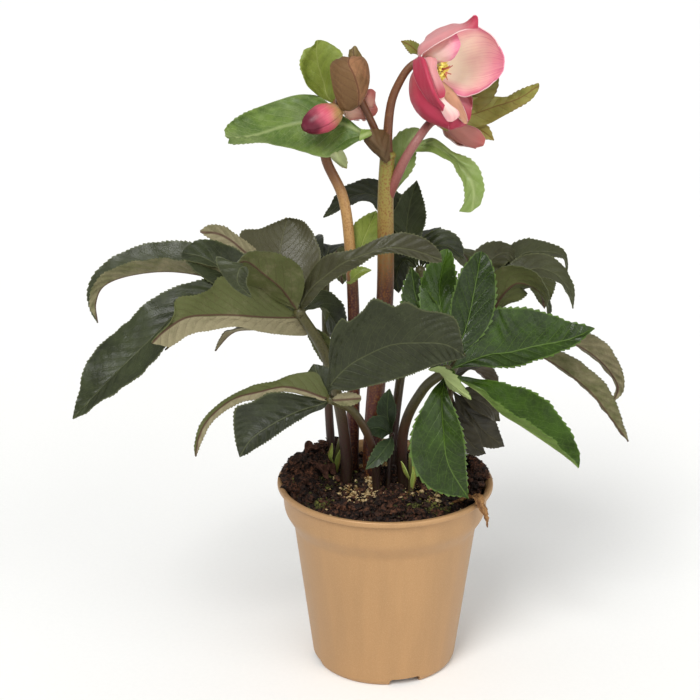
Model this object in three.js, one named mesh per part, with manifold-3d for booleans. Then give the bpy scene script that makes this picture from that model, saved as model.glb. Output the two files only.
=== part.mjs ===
// A potted hellebore: a tapered plastic nursery pot filled with potting mix, a clump of
// pedate evergreen leaves, and two flowering stalks with bracts, an open bloom and buds.
// Millimetres, +Z up. The origin is the centre of the pot's flat base.
import * as THREE from "three";
import { mergeVertices } from "three/addons/utils/BufferGeometryUtils.js";
import Module from "manifold-3d";

const wasm = await Module();
wasm.setup();

// ---------------------------------------------------------------- driving dimensions
const POT_HEIGHT = 117;
const RIM_RADIUS = 65;
const BASE_RADIUS = 43.7;
const BASE_ROUND = 3.2; // height of the rounded edge at the foot
const POT_WALL = 1.6;
const BAND_FOOT = 89.7; // height where the rim band's shoulder meets the wall
const BAND_FOOT_RADIUS = 55.2;
const BAND_SHOULDER = 99; // height where the shoulder reaches the band
const BAND_RADIUS = 61.2;
const LIP_DEPTH = 3.4;
const POT_SEGMENTS = 24;

const DRAIN_COUNT = 4;
const DRAIN_FIRST_DEG = -74; // the one that shows stands a little right of the front
const DRAIN_WIDTH = 19;
const DRAIN_DEPTH = 11; // in from the base's edge
const DRAIN_HEIGHT = 4.4;
const DRAIN_HOLE_RADIUS = 2.6;

const SOIL_LEVEL = 110; // at the wall
const SOIL_SEGMENTS = 18;
const ROOT_LEVEL = 92; // how far down the stalks stand in the soil

const CLEARANCE = 0.35; // between neighbouring solids
const LEAF_THICKNESS = 0.8;
const SEPAL_THICKNESS = 1.0;
const STALK_SIDES = 6;
const TIP_HALF_WIDTH = 0.7;
const TOOTH_DEPTH = 1.6;
const HUB_SWELL = 1.35; // radius of the knob where leaflets meet, over the leaf stalk's
const HUB_ROOT = 0.55; // where the leaflets' roots lie in that knob, as a share of its radius
const SEED = 7;

// ---------------------------------------------------------------- materials
const finish = (color, roughness) =>
  new THREE.MeshStandardMaterial({ color, roughness, metalness: 0 });
const GOLD_PLASTIC = new THREE.MeshStandardMaterial({
  color: 0xc49a67,
  roughness: 0.45,
  metalness: 0.25,
});
const PEAT = finish(0x3a241a, 0.95);
const DARK_LEAF = finish(0x3d4438, 0.45);
const BRIGHT_LEAF = finish(0x2f5a22, 0.4);
const PURPLE_LEAF = finish(0x3c302c, 0.6);
const YOUNG_LEAF = finish(0x33452c, 0.5);
const BRACT_GREEN = finish(0x5d8440, 0.5);
const BRACT_LIME = finish(0x86983a, 0.5);
const BRACT_OLIVE = finish(0x7d7f45, 0.5);
const BRACT_BROWN = finish(0x7a5a3a, 0.5);
const STALK_SKIN = finish(0x8a7038, 0.6);
const SEPAL_PINK = finish(0xd06a80, 0.5);
const SEPAL_SALMON = finish(0xc4786c, 0.5);
const NECTARY_GREEN = finish(0xb9b56a, 0.5);
const ANTHER_YELLOW = finish(0xe8d24a, 0.7);
const STYLE_RED = finish(0xc07058, 0.6);
const DRY_BROWN = finish(0x7a5634, 0.9);

// ---------------------------------------------------------------- solids
const vector = (p) => new THREE.Vector3(p[0], p[1], p[2]);

// A closed three.js geometry as a manifold solid, turned right side out.
function solidOf(geometry) {
  const bare = geometry.clone();
  bare.deleteAttribute("normal");
  bare.deleteAttribute("uv");
  const merged = mergeVertices(bare, 1e-4);
  const triVerts = new Uint32Array(merged.index.array);
  const vertProperties = new Float32Array(merged.attributes.position.array);
  const build = () => new wasm.Manifold(new wasm.Mesh({ numProp: 3, vertProperties, triVerts }));
  const solid = build();
  if (solid.volume() > 0) return solid;
  for (let i = 0; i < triVerts.length; i += 3) {
    [triVerts[i + 1], triVerts[i + 2]] = [triVerts[i + 2], triVerts[i + 1]];
  }
  return build();
}

const fused = (solids) => solids.reduce((whole, piece) => whole.add(piece));
const cut = (solid, tools) => tools.reduce((rest, tool) => rest.subtract(tool), solid);

// Only the largest body of a solid: a cut can leave a scrap beside it.
function largest(solid) {
  return solid.decompose().reduce((a, b) => (a.volume() > b.volume() ? a : b));
}

function geometryOf(solid) {
  const mesh = solid.getMesh();
  const positions = new Float32Array(mesh.numVert * 3);
  for (let i = 0; i < mesh.numVert; i++) {
    const from = i * mesh.numProp;
    positions.set(mesh.vertProperties.subarray(from, from + 3), i * 3);
  }
  return new THREE.BufferGeometry()
    .setAttribute("position", new THREE.BufferAttribute(positions, 3))
    .setIndex(new THREE.BufferAttribute(new Uint32Array(mesh.triVerts), 1));
}

function indexedGeometry(points, triangles) {
  const positions = new Float32Array(points.flatMap((p) => [p.x, p.y, p.z]));
  return new THREE.BufferGeometry()
    .setAttribute("position", new THREE.BufferAttribute(positions, 3))
    .setIndex(triangles.flat());
}

// Repeatable random numbers from 0 to 1.
function seededRandom(seed) {
  let state = seed;
  return () => {
    state = (state * 16807) % 2147483647;
    return state / 2147483647;
  };
}

// ---------------------------------------------------------------- stalks
const smoothLine = (points) =>
  new THREE.CatmullRomCurve3(points.map(vector), false, "catmullrom", 0.5);

// A round stalk along a line, its radius running evenly from the first to the last.
function stalk({ line, radii, sides = STALK_SIDES }) {
  const curve = smoothLine(line);
  const steps = line.length === 2 ? 1 : line.length * 2 - 2;
  const { normals, binormals } = curve.computeFrenetFrames(steps, false);
  const vertices = [];
  const triangles = [];
  for (let i = 0; i <= steps; i++) {
    const share = i / steps;
    const centre = curve.getPointAt(share);
    const radius = THREE.MathUtils.lerp(radii[0], radii[1], share);
    for (let k = 0; k < sides; k++) {
      const turn = (2 * Math.PI * k) / sides;
      vertices.push(
        centre
          .clone()
          .addScaledVector(normals[i], radius * Math.cos(turn))
          .addScaledVector(binormals[i], radius * Math.sin(turn)),
      );
    }
  }
  for (let i = 0; i < steps; i++) {
    for (let k = 0; k < sides; k++) {
      const a = i * sides + k;
      const b = i * sides + ((k + 1) % sides);
      triangles.push([a, b, b + sides], [a, b + sides, a + sides]);
    }
  }
  for (let k = 1; k < sides - 1; k++) {
    const last = steps * sides;
    triangles.push([0, k + 1, k], [last, last + k, last + k + 1]);
  }
  return solidOf(indexedGeometry(vertices, triangles));
}

// The space that a stalk takes, with the clearance all round it and past both ends.
function roomFor({ line, radii, sides }) {
  const gap = CLEARANCE;
  const beyond = (end, next) => vector(end).add(vector(end).sub(vector(next)).setLength(gap));
  const first = beyond(line[0], line[1]).toArray();
  const last = beyond(line[line.length - 1], line[line.length - 2]).toArray();
  const longer = [first, ...line.slice(1, -1), last];
  return stalk({ line: longer, radii: radii.map((r) => r + gap), sides });
}

function knob(at, radius) {
  return solidOf(new THREE.IcosahedronGeometry(radius).translate(...at));
}

// ---------------------------------------------------------------- blades
// Share of the full half width at t: pointed at both ends, widest at the given place.
function outline(t, widest, root, point) {
  return t < widest
    ? Math.sin((Math.PI / 2) * (t / widest)) ** root
    : Math.cos((Math.PI / 2) * ((t - widest) / (1 - widest))) ** point;
}

function between(list, t) {
  if (list.length === 1) return list[0].clone();
  const at = THREE.MathUtils.clamp(t, 0, 1) * (list.length - 1);
  const i = Math.min(Math.floor(at), list.length - 2);
  return list[i].clone().lerp(list[i + 1], at - i);
}

const pair = (value) => (Array.isArray(value) ? value : [value, value]);

// The surface of one blade: t runs from root to tip along the rib, u from -1 to 1 across.
// face gives the way the upper side looks, from root to tip. fold lifts the halves towards
// it, in degrees, curl bends the margins further, and wave ripples them. wide and fold may
// differ between the left half, u below 0, and the right.
function bladeSurface(blade) {
  const { rib, curl = 0, wave = 0, waves = 2.5, phase = 0 } = blade;
  const { widest = 0.54, root = 1.6, point = 0.9 } = blade;
  const wide = pair(blade.wide);
  const fold = pair(blade.fold ?? 12);
  const line = smoothLine(rib);
  const faces = blade.face.map((f) => vector(f).normalize());
  return (t, u) => {
    const held = THREE.MathUtils.clamp(t, 0, 1);
    const half = u < 0 ? 0 : 1;
    const along = line.getTangentAt(held);
    const side = new THREE.Vector3().crossVectors(along, between(faces, held)).normalize();
    const up = new THREE.Vector3().crossVectors(side, along);
    const share = outline(held, widest, root, point);
    const reach = Math.max(wide[half] * share, TIP_HALF_WIDTH);
    const out = Math.abs(u);
    const tilt = THREE.MathUtils.degToRad(fold[half] + curl * out);
    const turn = 2 * Math.PI * waves * held + phase + (half ? 1 : 0);
    const ripple = wave * Math.sin(turn) * out * out * share;
    return line
      .getPointAt(held)
      .addScaledVector(side, reach * u * Math.cos(tilt))
      .addScaledVector(up, reach * out * Math.sin(tilt) + ripple);
  };
}

// A closed blade of even thickness over a surface. Each row is { t, tooth }, and a row with
// a tooth has its margins pushed out by that share and forward. Both faces are split alike.
function bladeSolid(surface, rows, columns, thickness, lean) {
  const nudge = 0.01;
  const faces = [[], []];
  for (const row of rows) {
    for (const u of columns) {
      const toothed = Math.abs(u) === 1 && row.tooth;
      const t = toothed ? row.t + lean : row.t;
      const at = surface(t, toothed ? u * (1 + row.tooth) : u);
      const across = surface(t, u + nudge).sub(surface(t, u - nudge));
      const ahead = surface(t + nudge, u).sub(surface(t - nudge, u));
      const normal = across.cross(ahead).normalize().multiplyScalar(thickness / 2);
      faces[0].push(at.clone().add(normal));
      faces[1].push(at.sub(normal));
    }
  }
  const count = faces[0].length;
  const width = columns.length;
  const triangles = [];
  for (let r = 0; r < rows.length - 1; r++) {
    for (let c = 0; c < width - 1; c++) {
      const a = r * width + c;
      const [b, d, e] = [a + 1, a + width + 1, a + width];
      const split = columns[c] < 0 ? [[a, b, d], [a, d, e]] : [[a, b, e], [b, d, e]];
      for (const [i, j, k] of split) {
        triangles.push([i, j, k], [count + i, count + k, count + j]);
      }
    }
  }
  const edge = [];
  for (let c = 0; c < width; c++) edge.push(c);
  for (let r = 1; r < rows.length; r++) edge.push(r * width + width - 1);
  for (let c = width - 2; c >= 0; c--) edge.push((rows.length - 1) * width + c);
  for (let r = rows.length - 2; r > 0; r--) edge.push(r * width);
  edge.forEach((p, i) => {
    const q = edge[(i + 1) % edge.length];
    triangles.push([p, count + p, count + q], [p, count + q, q]);
  });
  return solidOf(indexedGeometry(faces.flat(), triangles));
}

// A leaflet or bract with a saw-toothed margin. Its rib starts at the given root.
function leaflet(start, blade) {
  const teeth = blade.teeth ?? 3;
  const plain = blade.plain ?? 0.3; // the stretch near the root that has no teeth
  const widest = Math.max(...pair(blade.wide));
  const pitch = (1 - plain) / (teeth * 2 + 1);
  const rows = [{ t: 0 }, { t: plain }];
  for (let i = 1; i <= teeth * 2; i++) {
    rows.push({ t: plain + i * pitch, tooth: i % 2 ? TOOTH_DEPTH / widest : 0 });
  }
  rows.push({ t: 1 });
  const surface = bladeSurface({ ...blade, rib: [start, ...blade.to] });
  return bladeSolid(surface, rows, [-1, 0, 1], LEAF_THICKNESS, pitch * 0.45);
}

// A broad smooth-edged sepal, cupped across.
function sepal(start, blade) {
  const rows = [0, 0.22, 0.46, 0.7, 0.88, 1].map((t) => ({ t }));
  const shape = { widest: 0.58, root: 0.8, point: 0.5, fold: 4, curl: 26, ...blade };
  const surface = bladeSurface({ ...shape, rib: [start, ...blade.to] });
  return bladeSolid(surface, rows, blade.columns ?? [-1, -0.5, 0, 0.5, 1], SEPAL_THICKNESS, 0);
}

// ---------------------------------------------------------------- pot
function pot() {
  const profile = [
    [0, 0],
    [BASE_RADIUS - BASE_ROUND, 0],
    [BASE_RADIUS - BASE_ROUND * 0.25, BASE_ROUND * 0.3],
    [BASE_RADIUS + 0.3, BASE_ROUND],
    [BAND_FOOT_RADIUS, BAND_FOOT],
    [BAND_RADIUS - 0.4, BAND_SHOULDER],
    [BAND_RADIUS + 0.9, POT_HEIGHT - LIP_DEPTH],
    [RIM_RADIUS - 0.6, POT_HEIGHT - LIP_DEPTH],
    [RIM_RADIUS, POT_HEIGHT - LIP_DEPTH + 0.8],
    [RIM_RADIUS, POT_HEIGHT - 0.9],
    [RIM_RADIUS - 0.8, POT_HEIGHT],
    [RIM_RADIUS - 2.2, POT_HEIGHT],
    [BAND_RADIUS - 1.0, POT_HEIGHT - LIP_DEPTH],
    [BAND_RADIUS - POT_WALL - 0.4, BAND_SHOULDER + 0.6],
    [BAND_FOOT_RADIUS - POT_WALL, BAND_FOOT + 0.6],
    [BASE_RADIUS - POT_WALL, BASE_ROUND + 0.6],
    [BASE_RADIUS - POT_WALL - BASE_ROUND, POT_WALL],
    [0, POT_WALL],
  ];
  const points = profile.map(([r, z]) => new THREE.Vector2(r, z));
  const shell = solidOf(new THREE.LatheGeometry(points, POT_SEGMENTS).rotateX(Math.PI / 2));
  const filled = [...points.slice(0, 5), new THREE.Vector2(0, BAND_FOOT)];
  const outside = solidOf(new THREE.LatheGeometry(filled, POT_SEGMENTS).rotateX(Math.PI / 2));
  const roofs = fused(drainBlocks(POT_WALL, 0.01)).intersect(outside);
  return cut(shell.add(roofs), [...drainBlocks(0, -3), ...drainHoles()]);
}

// A block for each drain recess, larger than it by the given margin.
function drainBlocks(margin, bottom) {
  const reach = 12; // past the wall
  const depth = DRAIN_DEPTH + margin;
  const top = DRAIN_HEIGHT + margin;
  return drainAngles().map((turn) => {
    const block = new THREE.BoxGeometry(depth + reach, DRAIN_WIDTH + margin * 2, top - bottom);
    block.translate(BASE_RADIUS - depth + (depth + reach) / 2, 0, (top + bottom) / 2);
    return solidOf(block.rotateZ(turn));
  });
}

function drainHoles() {
  return drainAngles().map((turn) => {
    const hole = new THREE.CylinderGeometry(DRAIN_HOLE_RADIUS, DRAIN_HOLE_RADIUS, 9, 12);
    hole.rotateX(Math.PI / 2).translate(BASE_RADIUS - DRAIN_DEPTH * 0.6, 0, DRAIN_HEIGHT);
    return solidOf(hole.rotateZ(turn));
  });
}

function drainAngles() {
  const first = THREE.MathUtils.degToRad(DRAIN_FIRST_DEG);
  return Array.from({ length: DRAIN_COUNT }, (_, i) => first + (2 * Math.PI * i) / DRAIN_COUNT);
}

// ---------------------------------------------------------------- soil
const MOUNDS = [
  { at: [-38, 32], height: 14, spread: 15 },
  { at: [-50, 8], height: 5, spread: 12 },
  { at: [44, 34], height: 11, spread: 14 },
  { at: [0, 10], height: 5, spread: 26 },
];

function soilHeight(x, y) {
  const mounds = MOUNDS.reduce((sum, { at, height, spread }) => {
    const away = Math.hypot(x - at[0], y - at[1]) / spread;
    return sum + height * Math.exp(-away * away);
  }, 0);
  const lumps = 1.5 * Math.sin(x * 0.41 + 1.3) * Math.cos(y * 0.37);
  return SOIL_LEVEL + mounds + lumps + 0.9 * Math.sin(x * 0.83 - y * 0.71);
}

function soil() {
  const inner = (radius) => radius - POT_WALL - CLEARANCE;
  const floor = POT_WALL + CLEARANCE;
  const brim = inner(BAND_RADIUS) - 0.8;
  const rings = [48, 38, 27, 14, 0];
  const profile = [
    [0, floor],
    [inner(BASE_RADIUS) - BASE_ROUND - 0.4, floor],
    [inner(BASE_RADIUS) - 0.3, BASE_ROUND + 1.2],
    [inner(BAND_FOOT_RADIUS) - 0.8, BAND_FOOT],
    [brim, BAND_SHOULDER + 1.6],
    [brim, SOIL_LEVEL - 2],
    [brim - 1.5, SOIL_LEVEL],
    ...rings.map((r) => [r, SOIL_LEVEL]),
  ];
  const points = profile.map(([r, z]) => new THREE.Vector2(r, z));
  const body = new THREE.LatheGeometry(points, SOIL_SEGMENTS).rotateX(Math.PI / 2);
  const positions = body.attributes.position;
  for (let i = 0; i < positions.count; i++) {
    if (Math.abs(positions.getZ(i) - SOIL_LEVEL) > 1e-3) continue;
    positions.setZ(i, soilHeight(positions.getX(i), positions.getY(i)));
  }
  return cut(solidOf(body), drainBlocks(POT_WALL + CLEARANCE, 0));
}

// ---------------------------------------------------------------- flowering stalks
const MAIN_STALK = {
  line: [[-8, 4, ROOT_LEVEL], [-8, 3, 125], [-6, 2, 170], [-1, 0, 229], [-1, 0, 288], [0, 0, 314]],
  radii: [6.2, 5.0],
  sides: 8,
};
const BUD_SIDE_STALK = { line: [[0, 0, 311], [-7, 0, 328], [-15, 0, 345]], radii: [2.4, 2.0] };
const BLOOM_STALK = {
  line: [[0, 0, 311], [0, -1, 328], [2, -2, 345], [7, -2, 357], [12, -2, 364], [17, -2, 367]],
  radii: [2.8, 2.1],
};
const LOW_BLOOM_STALK = {
  line: [[1, 0, 292], [5, -2, 302], [10, -3, 313], [17, -2, 324], [24, 7, 331], [30, 19, 331]],
  radii: [2.9, 2.3],
};
const HIDDEN_BLOOM_STALK = {
  line: [[-15, 0, 343], [-18, 3, 348], [-17, 10, 343]],
  radii: [1.9, 1.6],
};
const SIDE_STALK = {
  line: [
    [-20, 13, ROOT_LEVEL], [-20, 13, 125], [-19, 11, 170], [-19, 8, 216], [-21, 7, 256],
    [-25, 9, 287], [-35, 12, 310], [-34, 14, 328], [-28, 13, 342],
  ],
  radii: [4.3, 2.7],
  sides: 7,
};
const BUD_STALK = { line: [[-28, 13, 341], [-27, 5, 347], [-26, -6, 342]], radii: [2.2, 1.8] };

const MAIN_PARTS = [MAIN_STALK, BUD_SIDE_STALK, BLOOM_STALK, LOW_BLOOM_STALK, HIDDEN_BLOOM_STALK];
const SIDE_PARTS = [SIDE_STALK, BUD_STALK];

// ---------------------------------------------------------------- leaves
// Each leaf stands on its own stalk from the crown, and its leaflets fan from the hub at the
// stalk's end.
const LEAVES = [
  {
    name: "leaf_left_upper",
    material: DARK_LEAF,
    stem: {
      line: [[-24, -2, ROOT_LEVEL], [-24, -3, 140], [-34, -11, 195], [-50, -18, 227]],
      radii: [3.6, 3.0],
    },
    blades: [
      {
        to: [
          [-71, -16, 236], [-98, -18, 240], [-118, -26, 230], [-134, -36, 216],
          [-155, -46, 197], [-176, -54, 176],
        ],
        wide: [16, 21], face: [[0, -5, 8], [0, -5, 8], [-5, -6, 6], [-5, -6, 5]], teeth: 6, widest: 0.7,
        root: 2.4, wave: 1.5,
      },
      {
        to: [[-67, -26, 236], [-85, -36, 242], [-101, -44, 245], [-116, -52, 240], [-129, -56, 222]],
        wide: [13, 23], face: [[1, 7, 6], [-2, 6, 7]], fold: 14, wave: 1.5, root: 1.1,
      },
      {
        to: [[-68, -20, 224], [-85, -24, 224], [-103, -30, 226], [-124, -44, 214]],
        wide: 9, face: [[0, 5, 8], [-4, 4, 7]], fold: 20,
      },
      {
        to: [
          [-72, -10, 234], [-99, -4, 243], [-125, 1, 246], [-149, 3, 243], [-164, 2, 237],
          [-169, 0, 227], [-168, -3, 216],
        ],
        wide: 16, face: [[0, 1, 9], [0, 0, 9], [-9, 0, 3]], fold: 52, teeth: 5,
      },
      {
        to: [[-59, -26, 243], [-69, -36, 255], [-78, -46, 265], [-83, -54, 263], [-76, -58, 250]],
        wide: 18, face: [[3, 8, 4], [1, 8, 4], [-2, -3, 9]], fold: 8, teeth: 4,
      },
      {
        to: [[-72, -9, 240], [-93, -3, 252], [-107, 0, 262], [-119, 2, 263]],
        wide: 11, face: [[4, -3, 5], [3, -5, 6], [-2, -3, 8]], teeth: 3,
      },
      {
        to: [[-53, 2, 240], [-61, 16, 254], [-71, 30, 267]],
        wide: 22, face: [[1, -7, 5], [0, -8, 5]], teeth: 4, fold: 6, point: 0.6,
      },
      {
        to: [[-30, -26, 246], [-2, -32, 263], [20, -35, 268], [31, -36, 262]],
        wide: 12, face: [[-2, 8, 4], [-1, 7, 4], [2, 2, 8]], teeth: 4,
      },
      {
        to: [[-71, -6, 213], [-89, 2, 206], [-100, 6, 195]],
        wide: 9, face: [[0, 3, 9], [-4, 2, 6]], teeth: 3,
      },
      {
        to: [[-40, -8, 208], [-30, -4, 188], [-25, -1, 173]],
        wide: 8, face: [[3, 7, 4], [4, 6, 2]], teeth: 3,
      },
      {
        to: [[-40, 6, 224], [-30, 16, 210], [-28, 22, 192]],
        wide: 11, face: [[-2, -6, 6], [5, -5, 4]], teeth: 3,
      },
    ],
  },
  {
    name: "leaf_front",
    material: DARK_LEAF,
    stem: {
      line: [[-5, -12, ROOT_LEVEL], [-7, -16, 138], [-18, -31, 170], [-32, -42, 183]],
      radii: [2.6, 2.3],
    },
    blades: [
      {
        to: [[-45, -47, 178], [-58, -52, 172], [-71, -58, 165], [-83, -65, 156]],
        wide: [7, 18], face: [[-1, -6, 7], [-4, -6, 5]], teeth: 5, widest: 0.64, root: 1.9,
      },
      {
        to: [[-49, -38, 184], [-67, -36, 183], [-84, -38, 181], [-97, -42, 175], [-108, -50, 151]],
        wide: 10, face: [[0, -1, 9], [0, -1, 9], [-8, -1, 4]], fold: 42, widest: 0.42, point: 1.1,
        teeth: 5,
      },
      { to: [[-37, -36, 190], [-42, -30, 200]], wide: 9, face: [[0, -8, 4]], teeth: 3 },
      { to: [[-24, -50, 186], [-14, -53, 185]], wide: 6, face: [[0, 3, 9]], teeth: 3 },
      {
        to: [[-23, -50, 195], [-10, -57, 212], [12, -67, 227], [27, -72, 228], [42, -74, 220]],
        wide: [26, 20], widest: 0.44, face: [[-4, -7, 5], [2, -6, 8]], teeth: 5, fold: 8,
      },
    ],
  },
  {
    name: "leaf_right_front",
    material: BRIGHT_LEAF,
    stem: {
      line: [[12, -3, ROOT_LEVEL], [10, -10, 148], [20, -26, 182], [33, -38, 199]],
      radii: [3.4, 2.8],
    },
    blades: [
      {
        to: [[52, -45, 188], [64, -48, 177], [76, -51, 170], [98, -57, 156], [107, -60, 149]],
        wide: [25, 9], face: [[3, -4, 8], [5, -5, 7]], fold: [8, 66], point: 0.7, teeth: 5,
      },
      {
        to: [[56, -32, 206], [69, -27, 206], [84, -22, 208], [105, -15, 210], [120, -10, 215]],
        wide: [26, 10], widest: 0.38, face: [[0, -7, 6], [-2, -7, 6]], teeth: 5,
      },
      { to: [[30, -28, 219], [27, -18, 240], [30, -12, 258]], wide: 14, face: [[0, -8, 4]], teeth: 4 },
      {
        to: [[47, -28, 220], [55, -20, 243], [62, -14, 259]],
        wide: 14, face: [[2, -9, 3], [1, -9, 3]], teeth: 4,
      },
      {
        to: [[30, -53, 188], [31, -60, 169], [34, -61, 151], [46, -55, 128]],
        wide: [11, 21], face: [[0, -8, 5], [0, -9, 2]], teeth: 5,
      },
      {
        to: [[30, -50, 201], [38, -56, 195], [46, -58, 189]],
        wide: 8, widest: 0.4, root: 1, face: [[0, -6, 7], [4, -5, 6]], teeth: 3,
      },
    ],
  },
  {
    name: "leaf_right_back",
    material: DARK_LEAF,
    stem: {
      line: [[19, 11, ROOT_LEVEL], [24, 12, 140], [42, 14, 185], [62, 15, 212]],
      radii: [3.2, 2.7],
    },
    blades: [
      {
        to: [[88, 8, 195], [106, 2, 185], [122, -2, 172], [134, -6, 157], [144, -8, 144]],
        wide: 13, face: [[1, -1, 9], [7, -1, 6]], fold: 26, teeth: 5,
      },
      {
        to: [[93, 20, 202], [114, 22, 195], [131, 22, 183], [141, 20, 169], [138, 16, 160]],
        wide: 13, face: [[0, 0, 9], [9, 0, 3]], fold: 24, teeth: 5,
      },
      {
        to: [[61, 22, 231], [62, 28, 244], [72, 31, 249], [80, 30, 239]],
        wide: 11, face: [[-6, -4, 4], [0, -4, 8], [5, -3, 6]], teeth: 4,
      },
      {
        to: [[71, 26, 236], [82, 35, 247], [96, 41, 247], [107, 42, 244], [110, 40, 234]],
        wide: 9, face: [[-3, -4, 8], [0, -4, 8], [8, -2, 5]], teeth: 4,
      },
      {
        to: [[75, 20, 235], [88, 22, 242], [101, 22, 238], [109, 20, 228], [111, 16, 219]],
        wide: 10, face: [[-3, -5, 6], [2, -4, 8], [8, -3, 3]], teeth: 4,
      },
      {
        to: [[67, 8, 228], [76, 4, 238], [87, 2, 235], [93, 2, 226], [95, 0, 219]],
        wide: 14, face: [[3, 7, 4], [3, 6, 6], [6, -4, 5]], teeth: 4,
      },
      {
        to: [[70, 34, 226], [84, 58, 232], [98, 80, 216], [104, 92, 196]],
        wide: 15, face: [[0, -2, 9], [3, 5, 6]],
      },
    ],
  },
  {
    name: "leaf_back",
    material: DARK_LEAF,
    stem: {
      line: [[4, 20, ROOT_LEVEL], [6, 24, 140], [13, 31, 195], [21, 35, 237]],
      radii: [3.0, 2.6],
    },
    blades: [
      {
        to: [[12, 36, 262], [-5, 34, 282], [-20, 32, 283], [-37, 30, 271]],
        wide: 13, face: [[-2, -4, 8], [-2, -3, 9], [-5, -4, 6]], teeth: 5,
      },
      { to: [[13, 34, 259], [14, 32, 278], [18, 30, 293]], wide: 11, face: [[3, -8, 2]], teeth: 4 },
      {
        to: [[26, 32, 251], [36, 28, 254], [46, 24, 247]],
        wide: 10, face: [[0, -6, 6], [3, -5, 7]], teeth: 4,
      },
      {
        to: [[12, 34, 244], [7, 33, 236], [8, 32, 224]],
        wide: 8, face: [[-4, -6, 4], [-4, -7, 0]], teeth: 3,
      },
      {
        to: [[22, 52, 250], [20, 76, 250], [14, 98, 232], [10, 110, 206]],
        wide: 17, face: [[0, -1, 9], [0, 7, 5]], teeth: 4,
      },
      {
        to: [[36, 52, 246], [50, 68, 238], [58, 82, 216]],
        wide: 15, face: [[0, 0, 9], [4, 5, 6]], teeth: 4,
      },
    ],
  },
  {
    name: "leaf_back_left",
    material: DARK_LEAF,
    stem: {
      line: [[-30, 22, ROOT_LEVEL], [-34, 30, 145], [-36, 42, 200], [-36, 52, 234]],
      radii: [2.8, 2.3],
    },
    blades: [
      {
        to: [[-56, 62, 242], [-80, 74, 238], [-98, 82, 216]],
        wide: 15, face: [[0, -1, 9], [-5, 2, 7]], teeth: 3,
      },
      {
        to: [[-46, 72, 244], [-58, 94, 236], [-66, 110, 212]],
        wide: 15, face: [[0, 0, 9], [-3, 6, 6]], teeth: 3,
      },
      {
        to: [[-34, 74, 242], [-30, 98, 232], [-26, 114, 206]],
        wide: 14, face: [[0, 0, 9], [1, 6, 6]], teeth: 3,
      },
      {
        to: [[-52, 52, 236], [-68, 54, 228], [-78, 56, 214]],
        wide: 10, face: [[0, -1, 9], [-5, 0, 6]], teeth: 3,
      },
    ],
  },
  {
    name: "leaf_low_right",
    material: PURPLE_LEAF,
    stem: { line: [[26, 1, ROOT_LEVEL], [31, 3, 130], [37, 10, 150], [40, 22, 167]],
    radii: [2.3, 1.9] },
    blades: [
      {
        to: [[53, 24, 160], [65, 26, 152], [71, 28, 143]],
        wide: 11, face: [[0, -4, 7], [4, -4, 6]], teeth: 3,
      },
      {
        to: [[50, 22, 152], [62, 24, 137], [74, 26, 127]],
        wide: 11, face: [[-1, -6, 6], [2, -7, 5]], teeth: 3,
      },
      { to: [[42, 14, 149], [53, 14, 133], [62, 19, 125]], wide: 8, face: [[0, -7, 5]], teeth: 3 },
      {
        to: [[46, 40, 172], [60, 54, 166], [72, 64, 148]],
        wide: 12, face: [[0, 0, 9], [4, 4, 6]], teeth: 3,
      },
      {
        to: [[36, 44, 172], [38, 66, 168], [42, 84, 150]],
        wide: 12, face: [[0, 0, 9], [0, 6, 6]], teeth: 3,
      },
    ],
  },
  {
    name: "young_shoot",
    material: YOUNG_LEAF,
    stem: { line: [[1, -9, ROOT_LEVEL + 8], [2, -8, 124], [4, -5, 147]], radii: [1.6, 1.2], sides: 5 },
    blades: [
      { to: [[1, -6, 160], [1, -6, 168], [2, -5, 176]], wide: 6, face: [[-2, -6, 0]], teeth: 2 },
      { to: [[-4, -9, 153], [-12, -11, 152]], wide: 7, face: [[-1, -6, 5]], teeth: 2, point: 0.6 },
      { to: [[2, -14, 146], [-4, -23, 141], [-12, -27, 134]], wide: 5, face: [[-1, -8, 3]], teeth: 2 },
    ],
  },
];

function leaf({ stem, blades }) {
  const hub = stem.line[stem.line.length - 1];
  const swell = stem.radii[1] * HUB_SWELL;
  const leaflets = blades.map((blade) => leaflet(fromHub(hub, blade.to[0], swell * HUB_ROOT), blade));
  return fused([stalk(stem), knob(hub, swell), ...leaflets]);
}

// A point at the given distance from the hub towards where a blade goes.
function fromHub(hub, to, distance) {
  return vector(hub).add(vector(to).sub(vector(hub)).setLength(distance)).toArray();
}

// ---------------------------------------------------------------- sheathed buds
// Short pointed shoots that break the soil, each wrapped in a scale.
const SHEATHED_BUDS = [
  {
    name: "sheathed_bud_left", line: [[-31, 10, 100], [-30, 10, 122], [-27, 8, 141]], radii: [2.6, 0.9],
  },
  {
    name: "sheathed_bud_right", line: [[15, -15, 100], [15, -15, 122], [14, -15, 139]],
    radii: [2.4, 0.8],
  },
];

function sheathedBud({ line, radii }) {
  const [, knee, tip] = line;
  const scale = {
    to: [[knee[0] - 4, knee[1] - 2, knee[2] + 6], [tip[0] - 5, tip[1] - 2, tip[2] - 4]],
    wide: 3.4,
    face: [[6, 1, 1]],
    teeth: 1,
    fold: 25,
  };
  return stalk({ line, radii }).add(leaflet(knee, scale));
}

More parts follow.
